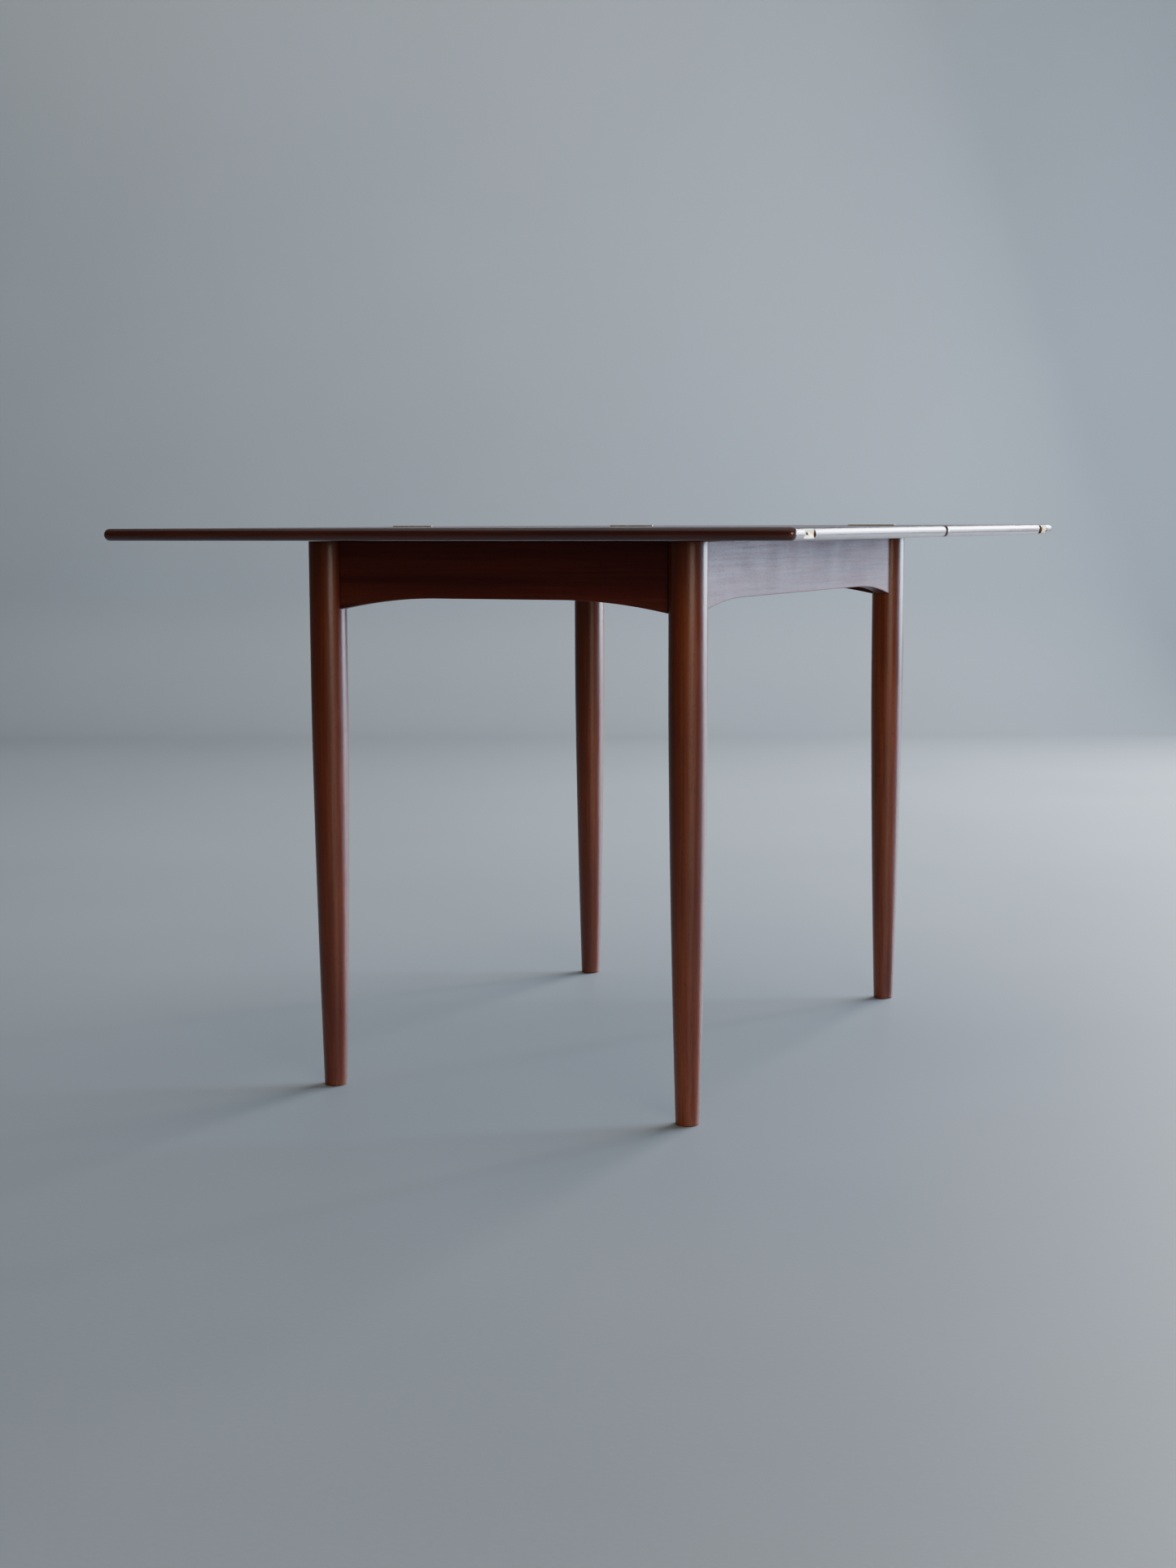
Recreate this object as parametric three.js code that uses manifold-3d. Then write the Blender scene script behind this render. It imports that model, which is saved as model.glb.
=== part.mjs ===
// A swivelling flip-top table, open. The top is two equal halves hinged on a split line: the back half
// folds over onto the front half, and the folded top turns a quarter about a pivot in the frame.
// Millimetres, +Z up. The origin is on the floor below the centre of the frame, X runs along the split
// line, and Y runs from the front edge to the back edge.

import * as THREE from 'three';
import { mergeVertices } from 'three/addons/utils/BufferGeometryUtils.js';
import Module from 'manifold-3d';

const wasm = await Module();
wasm.setup();

// ---- Driving dimensions -------------------------------------------------------------------------

// Top
const TABLE_HEIGHT = 723;
const HALF_WIDTH = 900; // along the split line
const HALF_DEPTH = 601; // from the split to the outer edge
const SPLIT_GAP = 1;
const TOP_THICKNESS = 15;
const LIPPING_WIDTH = 12;
const CORNER_RADIUS = 8;

// Frame
const LEG_SPACING_X = 495; // between leg axes
const LEG_SPACING_Y = 806;
const LEG_RADIUS = 23.8;
const FOOT_RADIUS = 14.8;
const TAPER_HEIGHT = 515; // the leg is straight above this and tapers below it
const TAPER_POWER = 1.6;
const FOOT_CHAMFER = 1.5;
const APRON_THICKNESS = 20;
const APRON_STEP = 9; // from the leg axis out to the apron's outer face
const APRON_DEPTH = 71; // at the middle of the span
const EAR_DROP = 14.6; // how much deeper the apron is at the legs
const EAR_LENGTH = 140;
const EAR_POWER = 2;
const TENON_THICKNESS = 8;
const TENON_HEIGHT = 44;
const TENON_TOP = 14; // from the top of the apron down to the tenon
const TENON_END = 5.5; // from the leg axis to the tenon's end
const FELT_THICKNESS = 1.4;
const FELT_WIDTH = 12;
const FELT_INSET = 42; // from the leg axis to the end of the felt
const BLOCK_SIDE = 62;
const BLOCK_HEIGHT = 40;
const BLOCK_TOP = 13; // from the top of the frame down to the block
const BLOCK_TIP = 8; // width of the block's blunt ends
const BLOCK_SCREW_AT = 38; // along the apron from the inner corner
const BLOCK_SCREW_HEAD = 20; // from the apron to the screw's head

// Pivot
const RAIL_WIDTH = 110;
const RAIL_THICKNESS = 22;
const CLEAT_SIZE = 25;
const CLEAT_SCREW_AT = 36; // either side of the rail's middle
const PLATE_RADIUS = 42;
const PLATE_THICKNESS = 3;
const PLATE_SCREW_RADIUS = 31;
const BOLT_RADIUS = 5;
const BOLT_HEAD_RADIUS = 8;
const BUSH_WALL = 2.7;
const WASHER_RADIUS = 13;
const WASHER_THICKNESS = 2;
const SPRING_RISE = 1.2;
const NUT_ACROSS_FLATS = 17;
const NUT_HEIGHT = 8;
const BOLT_END = 3; // bolt left below the nut
const PEG_RADIUS = 4;
const PEG_ORBIT = 30; // from the pivot axis
const PEG_REACH = 8; // into the groove
const TURN = Math.PI / 2;

// Hinges
const HINGE_LENGTH = 64;
const HINGE_END_INSET = 72; // from the side edge of the top to the outer hinges
const HINGE_LEAF = 27; // from the hinge axis
const HINGE_THICKNESS = 2;
const KNUCKLES = 5;
const KNUCKLE_RADIUS = 1.5;
const PIN_RADIUS = 0.7;
const AXIS_RISE = 0.2; // hinge axis above the top surface
const HINGE_SCREW_AT = 19; // from the hinge axis
const HINGE_SCREW_PITCH = 23;

// Catch on the right-hand edge
const CATCH_AT = 556; // from the split to the catch pivot, and to the strike pin
const FLAT_DEPTH = 2.2; // flat cut into the rounded edge
const SWING_ROOM = 24; // length of the flat from the pivot towards the split
const STRIKE_TAIL = 13; // length of the strike's flat past the pin
const CATCH_TAIL = 7;
const CATCH_PLATE_HEIGHT = 9;
const CATCH_PLATE_THICKNESS = 1.5;
const ARM_THICKNESS = 1.2;
const ARM_WIDTH = 8;
const ARM_REACH = 22; // from the pivot to the arm's tip
const HOOK_HALF_WIDTH = 2.3;
const CATCH_NECK = 1.5;
const STRIKE_HEAD = 2.5;
const PIVOT_HEAD = 3;
const CATCH_HEAD_THICKNESS = 0.6;
const NOTCH_RADIUS = 6.2; // finger notch at the arm's tip
const NOTCH_LENGTH = 18;
const NOTCH_DEPTH = 8;
const STRIKE_SCREW_TAIL = 8; // from the strike pin, away from the split
const STRIKE_SCREW_LEAD = 17; // and towards it

// Fits
const GLUE_GAP = 0.3; // between pieces that are glued or screwed face to face
const SLIDE_GAP = 0.3; // between the felt and the turning top
const RUN_GAP = 0.5; // between the pivot plate and the rail
const HOLE_GAP = 0.3; // round a pin, screw or bolt
const KNUCKLE_GAP = 0.4;

const BLOCK_SCREW = { length: 30, head: 4, shank: 1.9 };
const RAIL_SCREW = { length: 32, head: 4, shank: 1.9 };
const CLEAT_SCREW = { length: 36, head: 4, shank: 1.9 };
const PLATE_SCREW = { length: 13, head: 3.6, shank: 1.7 };
const HINGE_SCREW = { length: 11, head: 3, shank: 1.3 };
const CATCH_SCREW = { length: 9, head: 1.9, shank: 0.9 };

// Facets round each kind of curve
const LEG_SIDES = 32;
const LEG_RINGS = 7;
const ROUND_SIDES = 24;
const SMALL_SIDES = 12;
const SCREW_SIDES = 8;
const NOSE_STEPS = 5;
const EAR_STEPS = 8;

// ---- Worked out from the driving dimensions -----------------------------------------------------

const topUnderside = TABLE_HEIGHT - TOP_THICKNESS;
const topMiddle = TABLE_HEIGHT - TOP_THICKNESS / 2;
const frameTop = topUnderside - SLIDE_GAP - FELT_THICKNESS - GLUE_GAP;
const splitEdge = SPLIT_GAP / 2;
const outerEdge = splitEdge + HALF_DEPTH;
const sideEdge = HALF_WIDTH / 2;
const halfCentre = (splitEdge + outerEdge) / 2;
const apronInside = APRON_THICKNESS - APRON_STEP; // from the leg axis in to the apron's inner face

// The pivot sits where a quarter turn brings the front half from its place beside the split line to
// the centre of the frame.
const pivotX = halfCentre / 2;
const pivotY = -halfCentre / 2;
const plateTop = topUnderside - GLUE_GAP;
const plateBottom = plateTop - PLATE_THICKNESS;
const railTop = plateBottom - RUN_GAP;
const railBottom = railTop - RAIL_THICKNESS;
const railEnd = LEG_SPACING_X / 2 - apronInside - GLUE_GAP;
const cleatTop = railBottom - GLUE_GAP;

const hingeAxisZ = TABLE_HEIGHT + AXIS_RISE;
const hingePlaces = [-1, 0, 1].map((i) => i * (sideEdge - HINGE_END_INSET - HINGE_LENGTH / 2));
const hingeNames = ['left', 'middle', 'right'];
const hingePlateTop = TABLE_HEIGHT;

const flatX = sideEdge - FLAT_DEPTH;
const catchZ = topMiddle;
const strikeReach = 2 * (hingeAxisZ - topMiddle); // from the catch pivot to the strike pin, folded

// ---- Materials ----------------------------------------------------------------------------------

const paint = (color, roughness, metalness = 0) => () =>
  new THREE.MeshStandardMaterial({ color, roughness, metalness });
const legWood = paint(0x6b3a26, 0.38);
const apronWood = paint(0x54291d, 0.4);
const topWood = paint(0x5c2f20, 0.32);
const lippingWood = paint(0x4e261b, 0.34);
const hiddenWood = paint(0x9c7650, 0.7);
const brass = paint(0xb08d4a, 0.32, 1);
const steel = paint(0x8d8f92, 0.35, 1);
const felt = paint(0x2c4a33, 0.95);

// ---- Solids -------------------------------------------------------------------------------------

/** A closed geometry as a solid: shared vertices merged, slivers at the poles dropped, faces out. */
function solid(geometry) {
  const bare = geometry.clone();
  bare.deleteAttribute('normal');
  bare.deleteAttribute('uv');
  const merged = mergeVertices(bare, 1e-4);
  const p = merged.attributes.position.array;
  const index = merged.index.array;
  const faces = [];
  let volume = 0;
  for (let i = 0; i < index.length; i += 3) {
    const [a, b, c] = [index[i], index[i + 1], index[i + 2]];
    if (a === b || b === c || c === a) continue;
    faces.push(a, b, c);
    const [u, v, w] = [a, b, c].map((k) => new THREE.Vector3().fromArray(p, 3 * k));
    volume += u.dot(v.cross(w));
  }
  if (volume < 0) faces.reverse();
  const mesh = new wasm.Mesh({
    numProp: 3,
    vertProperties: new Float32Array(p),
    triVerts: new Uint32Array(faces),
  });
  return new wasm.Manifold(mesh);
}

const joined = (solids) => solids.reduce((all, next) => all.add(next));
const cut = (piece, ...tools) => tools.reduce((rest, tool) => rest.subtract(tool), piece);

/** A solid box between two corners. */
function box(x0, x1, y0, y1, z0, z1) {
  const geometry = new THREE.BoxGeometry(x1 - x0, y1 - y0, z1 - z0);
  return solid(geometry.translate((x0 + x1) / 2, (y0 + y1) / 2, (z0 + z1) / 2));
}

/** A lathe profile of [radius, height] points turned about Z. */
function turned(points, sides) {
  const profile = points.map(([r, z]) => new THREE.Vector2(r, z));
  return new THREE.LatheGeometry(profile, sides).rotateX(Math.PI / 2);
}

const rod = (radius, z0, z1, sides) => turned([[0, z0], [radius, z0], [radius, z1], [0, z1]], sides);

/** A ring between two radii and two heights, closed on itself. */
function ring(inner, outer, z0, z1, sides, rise = 0) {
  const loop = [[inner, z0 + rise], [outer, z0], [outer, z1], [inner, z1 + rise], [inner, z0 + rise]];
  return turned(loop, sides);
}

/** A flat outline extruded up from z0 to z1. */
function slab(shape, z0, z1, curveSegments = 8) {
  const geometry = new THREE.ExtrudeGeometry(shape, { depth: z1 - z0, bevelEnabled: false, curveSegments });
  return geometry.translate(0, 0, z0);
}

/** Turns a geometry made about Z so that its Z points along direction, and moves it to a place. */
function aimed(geometry, [x, y, z], direction) {
  const turn = new THREE.Quaternion();
  turn.setFromUnitVectors(new THREE.Vector3(0, 0, 1), new THREE.Vector3(...direction));
  return geometry.applyQuaternion(turn).translate(x, y, z);
}

/** A countersunk screw, its flat head at the origin facing +Z and its point down. */
function screw({ length, head, shank }) {
  const neck = -(head - shank);
  return turned([[0, 0], [head, 0], [shank, neck], [shank, shank - length], [0, -length]], SCREW_SIDES);
}

/** The hole that a screw sits in, open above its head for a driver. */
function screwHole({ length, head, shank }, access) {
  const [h, s, l] = [head + HOLE_GAP, shank + HOLE_GAP, length + HOLE_GAP];
  const neck = -(h - s) - HOLE_GAP;
  const points = [[0, access], [h, access], [h, -HOLE_GAP], [s, neck], [s, s - l], [0, -l]];
  return turned(points, SCREW_SIDES);
}

/** Holes for screws of one size at several places, each [place, direction of the head]. */
const screwHoles = (size, places, access = 1) =>
  joined(places.map(([at, up]) => solid(aimed(screwHole(size, access), at, up))));

// ---- Scene graph --------------------------------------------------------------------------------

const table = new THREE.Group();

/** Adds one named piece to the table, with a material of its own. */
function add(name, piece, material, [x, y, z] = [0, 0, 0], turn = 0) {
  const { vertProperties, triVerts } = piece.getMesh();
  const geometry = new THREE.BufferGeometry();
  geometry.setAttribute('position', new THREE.BufferAttribute(new Float32Array(vertProperties), 3));
  geometry.setIndex(new THREE.BufferAttribute(new Uint32Array(triVerts), 1));
  geometry.computeVertexNormals();
  const mesh = new THREE.Mesh(geometry, material());
  mesh.name = name;
  mesh.position.set(x, y, z);
  mesh.rotation.z = turn;
  table.add(mesh);
}

/** Adds screws of one size at several places, each screw a piece of its own. */
function addScrews(name, size, places, material) {
  places.forEach(([at, up], i) => add(`${name}_${i + 1}`, solid(aimed(screw(size), at, up)), material));
}

// The four corners and the four sides of the frame, going round from the front left.
const corners = [
  { name: 'front_left', x: -LEG_SPACING_X / 2, y: -LEG_SPACING_Y / 2, turn: 0 },
  { name: 'front_right', x: LEG_SPACING_X / 2, y: -LEG_SPACING_Y / 2, turn: TURN },
  { name: 'back_right', x: LEG_SPACING_X / 2, y: LEG_SPACING_Y / 2, turn: 2 * TURN },
  { name: 'back_left', x: -LEG_SPACING_X / 2, y: LEG_SPACING_Y / 2, turn: 3 * TURN },
];
const sides = [
  { name: 'front', x: 0, y: -LEG_SPACING_Y / 2, turn: 0, span: LEG_SPACING_X },
  { name: 'right', x: LEG_SPACING_X / 2, y: 0, turn: TURN, span: LEG_SPACING_Y, railAt: pivotY },
  { name: 'back', x: 0, y: LEG_SPACING_Y / 2, turn: 2 * TURN, span: LEG_SPACING_X },
  { name: 'left', x: -LEG_SPACING_X / 2, y: 0, turn: 3 * TURN, span: LEG_SPACING_Y, railAt: -pivotY },
];

// ---- Legs ---------------------------------------------------------------------------------------

const tenonTop = frameTop - TENON_TOP;
const tenonBottom = tenonTop - TENON_HEIGHT;

/** Radius of the leg at a height: straight at the top, then a taper that quickens towards the foot. */
function legRadius(z) {
  const down = Math.max(0, (TAPER_HEIGHT - z) / TAPER_HEIGHT);
  return LEG_RADIUS - (LEG_RADIUS - FOOT_RADIUS) * down ** TAPER_POWER;
}

/** A turned leg with two mortises at its top, facing +X and +Y. */
function leg() {
  const profile = [[0, 0], [FOOT_RADIUS - FOOT_CHAMFER, 0]];
  for (let i = 0; i <= LEG_RINGS; i += 1) {
    const z = FOOT_CHAMFER + ((TAPER_HEIGHT - FOOT_CHAMFER) * i) / LEG_RINGS;
    profile.push([legRadius(z), z]);
  }
  profile.push([LEG_RADIUS, frameTop], [0, frameTop]);
  const half = TENON_THICKNESS / 2 + GLUE_GAP;
  const near = TENON_END - GLUE_GAP;
  const [low, high] = [tenonBottom - GLUE_GAP, tenonTop + GLUE_GAP];
  const mortiseX = box(near, LEG_RADIUS + 1, -half, half, low, high);
  const mortiseY = box(-half, half, near, LEG_RADIUS + 1, low, high);
  return cut(solid(turned(profile, LEG_SIDES)), mortiseX, mortiseY);
}

for (const { name, x, y, turn } of corners) add(`leg_${name}`, leg(), legWood, [x, y, 0], turn);

// ---- Aprons -------------------------------------------------------------------------------------

const blockScrewZ = frameTop - BLOCK_TOP - BLOCK_HEIGHT / 2;
const cleatScrewZ = cleatTop - CLEAT_SIZE / 2;
const cleatInner = apronInside + GLUE_GAP + CLEAT_SIZE;

/** Half of the apron's lower edge, from the middle out: flat, then falling ever faster to the leg. */
function lowerEdge(halfSpan) {
  const level = frameTop - APRON_DEPTH;
  const earEnd = halfSpan - LEG_RADIUS + 1;
  const points = [];
  for (let i = 0; i <= EAR_STEPS; i += 1) {
    const t = i / EAR_STEPS;
    points.push([earEnd - EAR_LENGTH * (1 - t), level - EAR_DROP * t ** EAR_POWER]);
  }
  points.push([halfSpan - TENON_END, level - EAR_DROP]);
  return points;
}

/** An apron along X between two legs, outer face towards -Y, y = 0 on the line of the leg axes. */
function apron(span, railAt) {
  const half = span / 2;
  const edge = lowerEdge(half);
  const outline = new THREE.Shape();
  outline.moveTo(-half + TENON_END, frameTop);
  for (const [x, z] of [...edge].reverse()) outline.lineTo(-x, z);
  for (const [x, z] of edge) outline.lineTo(x, z);
  outline.lineTo(half - TENON_END, frameTop);
  outline.closePath();
  const flat = slab(outline, -apronInside, APRON_STEP).rotateX(Math.PI / 2);
  let board = solid(flat);
  const tenons = [];
  for (const end of [-1, 1]) {
    const scribe = rod(LEG_RADIUS + GLUE_GAP, 0, frameTop + 1, LEG_SIDES).translate(end * half, 0, 0);
    board = cut(board, solid(scribe));
    const [x0, x1] = [end * (half - TENON_END), end * (half - LEG_RADIUS - 4)].sort((a, b) => a - b);
    const thick = TENON_THICKNESS / 2;
    tenons.push(box(x0, x1, -thick, thick, tenonBottom, tenonTop));
  }
  board = joined([board, ...tenons]);
  const screwX = half - apronInside - BLOCK_SCREW_AT;
  const headY = apronInside + BLOCK_SCREW_HEAD;
  const places = [-1, 1].map((end) => [[end * screwX, headY, blockScrewZ], [0, 1, 0]]);
  board = cut(board, screwHoles(BLOCK_SCREW, places));
  if (railAt !== undefined) {
    const cleatPlaces = [-1, 1].map((end) => {
      const x = railAt + end * CLEAT_SCREW_AT;
      return [[x, cleatInner, cleatScrewZ], [0, 1, 0]];
    });
    board = cut(board, screwHoles(CLEAT_SCREW, cleatPlaces));
  }
  return board;
}

/** A strip of felt along the top of an apron, under the turning top. */
function feltStrip(span) {
  const [half, middle] = [span / 2 - FELT_INSET, (apronInside - APRON_STEP) / 2];
  const z = frameTop + GLUE_GAP;
  return box(-half, half, middle - FELT_WIDTH / 2, middle + FELT_WIDTH / 2, z, z + FELT_THICKNESS);
}

for (const { name, x, y, turn, span, railAt } of sides) {
  add(`apron_${name}`, apron(span, railAt), apronWood, [x, y, 0], turn);
  add(`felt_strip_${name}`, feltStrip(span), felt, [x, y, 0], turn);
}

// ---- Corner blocks ------------------------------------------------------------------------------

/** Where a block's two screws go, measured from the leg axis: [place, direction of the head]. */
const blockScrewNear = apronInside + BLOCK_SCREW_AT;
const blockScrewHead = apronInside + BLOCK_SCREW_HEAD;
const blockScrewPlaces = [
  [[blockScrewNear, blockScrewHead, blockScrewZ], [0, 1, 0]],
  [[blockScrewHead, blockScrewNear, blockScrewZ], [1, 0, 0]],
];

/** A glue block in the corner between two aprons, cut back round the leg. */
function cornerBlock() {
  const start = apronInside + GLUE_GAP;
  const [side, tip] = [start + BLOCK_SIDE, start + BLOCK_TIP];
  const outline = new THREE.Shape();
  outline.moveTo(start, start);
  for (const [x, y] of [[side, start], [side, tip], [tip, side], [start, side]]) outline.lineTo(x, y);
  outline.closePath();
  const [z0, z1] = [frameTop - BLOCK_TOP - BLOCK_HEIGHT, frameTop - BLOCK_TOP];
  const legRoom = rod(LEG_RADIUS + GLUE_GAP, z0 - 1, z1 + 1, LEG_SIDES);
  const holes = screwHoles(BLOCK_SCREW, blockScrewPlaces, BLOCK_SIDE / 2);
  return cut(solid(slab(outline, z0, z1)), solid(legRoom), holes);
}

for (const { name, x, y, turn } of corners) {
  add(`corner_block_${name}`, cornerBlock(), hiddenWood, [x, y, 0], turn);
}

// ---- Pivot rail ---------------------------------------------------------------------------------

const bushOuter = BOLT_RADIUS + HOLE_GAP + BUSH_WALL;
const pegRoom = PEG_RADIUS + RUN_GAP;

/** The groove that the stop peg runs in: a quarter ring with round ends, from +X round to -Y. */
function pegGroove() {
  const outline = new THREE.Shape();
  outline.absarc(0, 0, PEG_ORBIT + pegRoom, -TURN, 0, false);
  outline.absarc(PEG_ORBIT, 0, pegRoom, 0, Math.PI, false);
  outline.absarc(0, 0, PEG_ORBIT - pegRoom, 0, -TURN, true);
  outline.absarc(0, -PEG_ORBIT, pegRoom, TURN, 3 * TURN, false);
  const floor = plateBottom - RUN_GAP - PEG_REACH - RUN_GAP;
  return solid(slab(outline, floor, railTop + 1, 10).translate(pivotX, pivotY, 0));
}

const cleatX = railEnd - CLEAT_SIZE / 2;
const cleats = [['left', -1], ['right', 1]];
const railScrewPlaces = (end) => [-1, 1].map((i) => {
  const y = pivotY + (i * CLEAT_SCREW_AT) / 2;
  return [[end * cleatX, y, railTop - GLUE_GAP], [0, 0, 1]];
});
const cleatScrewPlaces = (end) => [-1, 1].map((i) => {
  const x = end * (LEG_SPACING_X / 2 - cleatInner);
  return [[x, pivotY + i * CLEAT_SCREW_AT, cleatScrewZ], [-end, 0, 0]];
});
const allRailScrews = cleats.flatMap(([, end]) => railScrewPlaces(end));
const [railFront, railBack] = [pivotY - RAIL_WIDTH / 2, pivotY + RAIL_WIDTH / 2];

const bushHole = rod(bushOuter + GLUE_GAP, railBottom - 1, railTop + 1, ROUND_SIDES);
const railBoard = cut(
  box(-railEnd, railEnd, railFront, railBack, railBottom, railTop),
  solid(bushHole.translate(pivotX, pivotY, 0)),
  pegGroove(),
  screwHoles(RAIL_SCREW, allRailScrews),
);
add('pivot_rail', railBoard, hiddenWood);

for (const [name, end] of cleats) {
  const [x0, x1] = [end * railEnd, end * (railEnd - CLEAT_SIZE)].sort((a, b) => a - b);
  const block = box(x0, x1, railFront, railBack, cleatTop - CLEAT_SIZE, cleatTop);
  const railHoles = screwHoles(RAIL_SCREW, railScrewPlaces(end));
  const cleatHoles = screwHoles(CLEAT_SCREW, cleatScrewPlaces(end));
  add(`rail_cleat_${name}`, cut(block, railHoles, cleatHoles), hiddenWood);
}

const bush = ring(BOLT_RADIUS + HOLE_GAP, bushOuter, railBottom, railTop, ROUND_SIDES);
add('pivot_bush', solid(bush), brass, [pivotX, pivotY, 0]);

// ---- Pivot, fixed to the underside of the front half --------------------------------------------

const plateScrewPlaces = [1, 3, 5, 7].map((i) => {
  const angle = (i * Math.PI) / 4;
  const [x, y] = [Math.cos(angle), Math.sin(angle)].map((v) => v * PLATE_SCREW_RADIUS);
  return [[pivotX + x, pivotY + y, plateBottom], [0, 0, -1]];
});
const boltNeck = BOLT_HEAD_RADIUS - BOLT_RADIUS;
const washerTop = railBottom - GLUE_GAP;
const springTop = washerTop - WASHER_THICKNESS - GLUE_GAP;
const nutTop = springTop - WASHER_THICKNESS - SPRING_RISE - GLUE_GAP;
const boltBottom = nutTop - NUT_HEIGHT - BOLT_END;

/** The countersunk bolt head and its shaft, grown by a gap where it is used as a hole. */
function boltShape(gap, bottom) {
  const [head, shaft] = [BOLT_HEAD_RADIUS + gap, BOLT_RADIUS + gap];
  const top = plateTop + gap;
  const points = [[0, bottom], [shaft, bottom], [shaft, plateTop - boltNeck], [head, top], [0, top]];
  return turned(points, ROUND_SIDES);
}

const plateDisc = rod(PLATE_RADIUS, plateBottom, plateTop, 2 * ROUND_SIDES);
const pegHole = rod(PEG_RADIUS + HOLE_GAP, plateBottom - 1, plateTop + 1, SMALL_SIDES);
const plate = cut(
  solid(plateDisc.translate(pivotX, pivotY, 0)),
  solid(boltShape(HOLE_GAP, plateBottom - 1).translate(pivotX, pivotY, 0)),
  solid(pegHole.translate(pivotX + PEG_ORBIT, pivotY, 0)),
  screwHoles(PLATE_SCREW, plateScrewPlaces),
);
add('pivot_plate', plate, steel);
addScrews('pivot_plate_screw', PLATE_SCREW, plateScrewPlaces, steel);
add('pivot_bolt', solid(boltShape(0, boltBottom)), steel, [pivotX, pivotY, 0]);
const peg = rod(PEG_RADIUS, plateBottom - RUN_GAP - PEG_REACH, plateTop, SMALL_SIDES);
add('stop_peg', solid(peg), steel, [pivotX + PEG_ORBIT, pivotY, 0]);

const washerHole = BOLT_RADIUS + HOLE_GAP;
const washer = ring(washerHole, WASHER_RADIUS, washerTop - WASHER_THICKNESS, washerTop, ROUND_SIDES);
add('pivot_washer', solid(washer), steel, [pivotX, pivotY, 0]);
const springBottom = springTop - WASHER_THICKNESS;
const spring = ring(washerHole, WASHER_RADIUS - 2, springBottom, springTop, ROUND_SIDES, -SPRING_RISE);
add('pivot_spring_washer', solid(spring), steel, [pivotX, pivotY, 0]);

const nutOutline = new THREE.Shape();
for (let i = 0; i < 6; i += 1) {
  const angle = (i * Math.PI) / 3;
  const reach = NUT_ACROSS_FLATS / Math.sqrt(3);
  nutOutline[i ? 'lineTo' : 'moveTo'](reach * Math.cos(angle), reach * Math.sin(angle));
}
nutOutline.closePath();
const nut = cut(
  solid(slab(nutOutline, nutTop - NUT_HEIGHT, nutTop)),
  solid(rod(washerHole, nutTop - NUT_HEIGHT - 1, nutTop + 1, ROUND_SIDES)),
);
add('pivot_nut', nut, steel, [pivotX, pivotY, 0]);

// ---- Hinges -------------------------------------------------------------------------------------

const knuckleLength = HINGE_LENGTH / KNUCKLES;
const [hingeTop, hingeBottom] = [hingePlateTop, hingePlateTop - HINGE_THICKNESS];
const hingeScrewPlaces = (side) => hingePlaces.flatMap((x) => [-1, 0, 1].map((i) => (
  [[x + i * HINGE_SCREW_PITCH, side * HINGE_SCREW_AT, hingeTop], [0, 0, 1]]
)));

/** A rod along X on the hinge axis. */
function alongAxis(radius, x0, x1, segments) {
  const geometry = rod(radius, x0, x1, segments).rotateY(TURN);
  return solid(geometry.translate(0, 0, hingeAxisZ));
}

/** One hinge leaf about its own middle: side -1 lies on the front half and has the odd knuckles. */
function hingeLeaf(side) {
  const half = HINGE_LENGTH / 2;
  const [near, far] = [KNUCKLE_RADIUS + KNUCKLE_GAP, HINGE_LEAF];
  const span = [side * near, side * far].sort((a, b) => a - b);
  let leaf = box(-half, half, ...span, hingeBottom, hingeTop);
  for (let i = side < 0 ? 0 : 1; i < KNUCKLES; i += 2) {
    const x0 = -half + i * knuckleLength + (i ? KNUCKLE_GAP / 2 : 0);
    const x1 = -half + (i + 1) * knuckleLength - (i < KNUCKLES - 1 ? KNUCKLE_GAP / 2 : 0);
    const bridge = [side * PIN_RADIUS, side * (near + 1)].sort((a, b) => a - b);
    leaf = joined([
      leaf,
      alongAxis(KNUCKLE_RADIUS, x0, x1, SMALL_SIDES),
      box(x0, x1, ...bridge, hingeBottom, hingeTop),
    ]);
  }
  const pinHole = alongAxis(PIN_RADIUS + HOLE_GAP, -half - 1, half + 1, SMALL_SIDES);
  const atOrigin = screwHoles(HINGE_SCREW, [-1, 0, 1].map((i) => (
    [[i * HINGE_SCREW_PITCH, side * HINGE_SCREW_AT, hingeTop], [0, 0, 1]]
  )));
  return cut(leaf, pinHole, atOrigin);
}

/** The recess that one side's hinge leaves lie in. */
function hingeRecesses(side) {
  const [length, reach] = [HINGE_LENGTH / 2 + GLUE_GAP, side * (HINGE_LEAF + GLUE_GAP)];
  const span = [0, reach].sort((a, b) => a - b);
  const floor = hingeBottom - GLUE_GAP;
  return joined(hingePlaces.map((x) => box(x - length, x + length, ...span, floor, TABLE_HEIGHT + 1)));
}

hingeNames.forEach((name, i) => {
  const at = [hingePlaces[i], 0, 0];
  add(`hinge_${name}_fixed_leaf`, hingeLeaf(-1), brass, at);
  add(`hinge_${name}_moving_leaf`, hingeLeaf(1), brass, at);
  const pin = alongAxis(PIN_RADIUS, -HINGE_LENGTH / 2, HINGE_LENGTH / 2, SMALL_SIDES);
  add(`hinge_${name}_pin`, pin, brass, at);
});

// ---- Catch: strike on the front half, arm on the back half --------------------------------------

const strikeY = -CATCH_AT;
const platePlane = flatX;
const plateHalf = CATCH_PLATE_HEIGHT / 2;
const armInner = flatX + HOLE_GAP;
const headInner = sideEdge - CATCH_HEAD_THICKNESS;
const facingX = (y) => [[platePlane, y, catchZ], [1, 0, 0]];
const strikeScrewPlaces = [facingX(strikeY - STRIKE_SCREW_TAIL), facingX(strikeY + STRIKE_SCREW_LEAD)];
const catchScrewPlaces = [facingX(CATCH_AT - STRIKE_SCREW_LEAD - 2)];

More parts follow.
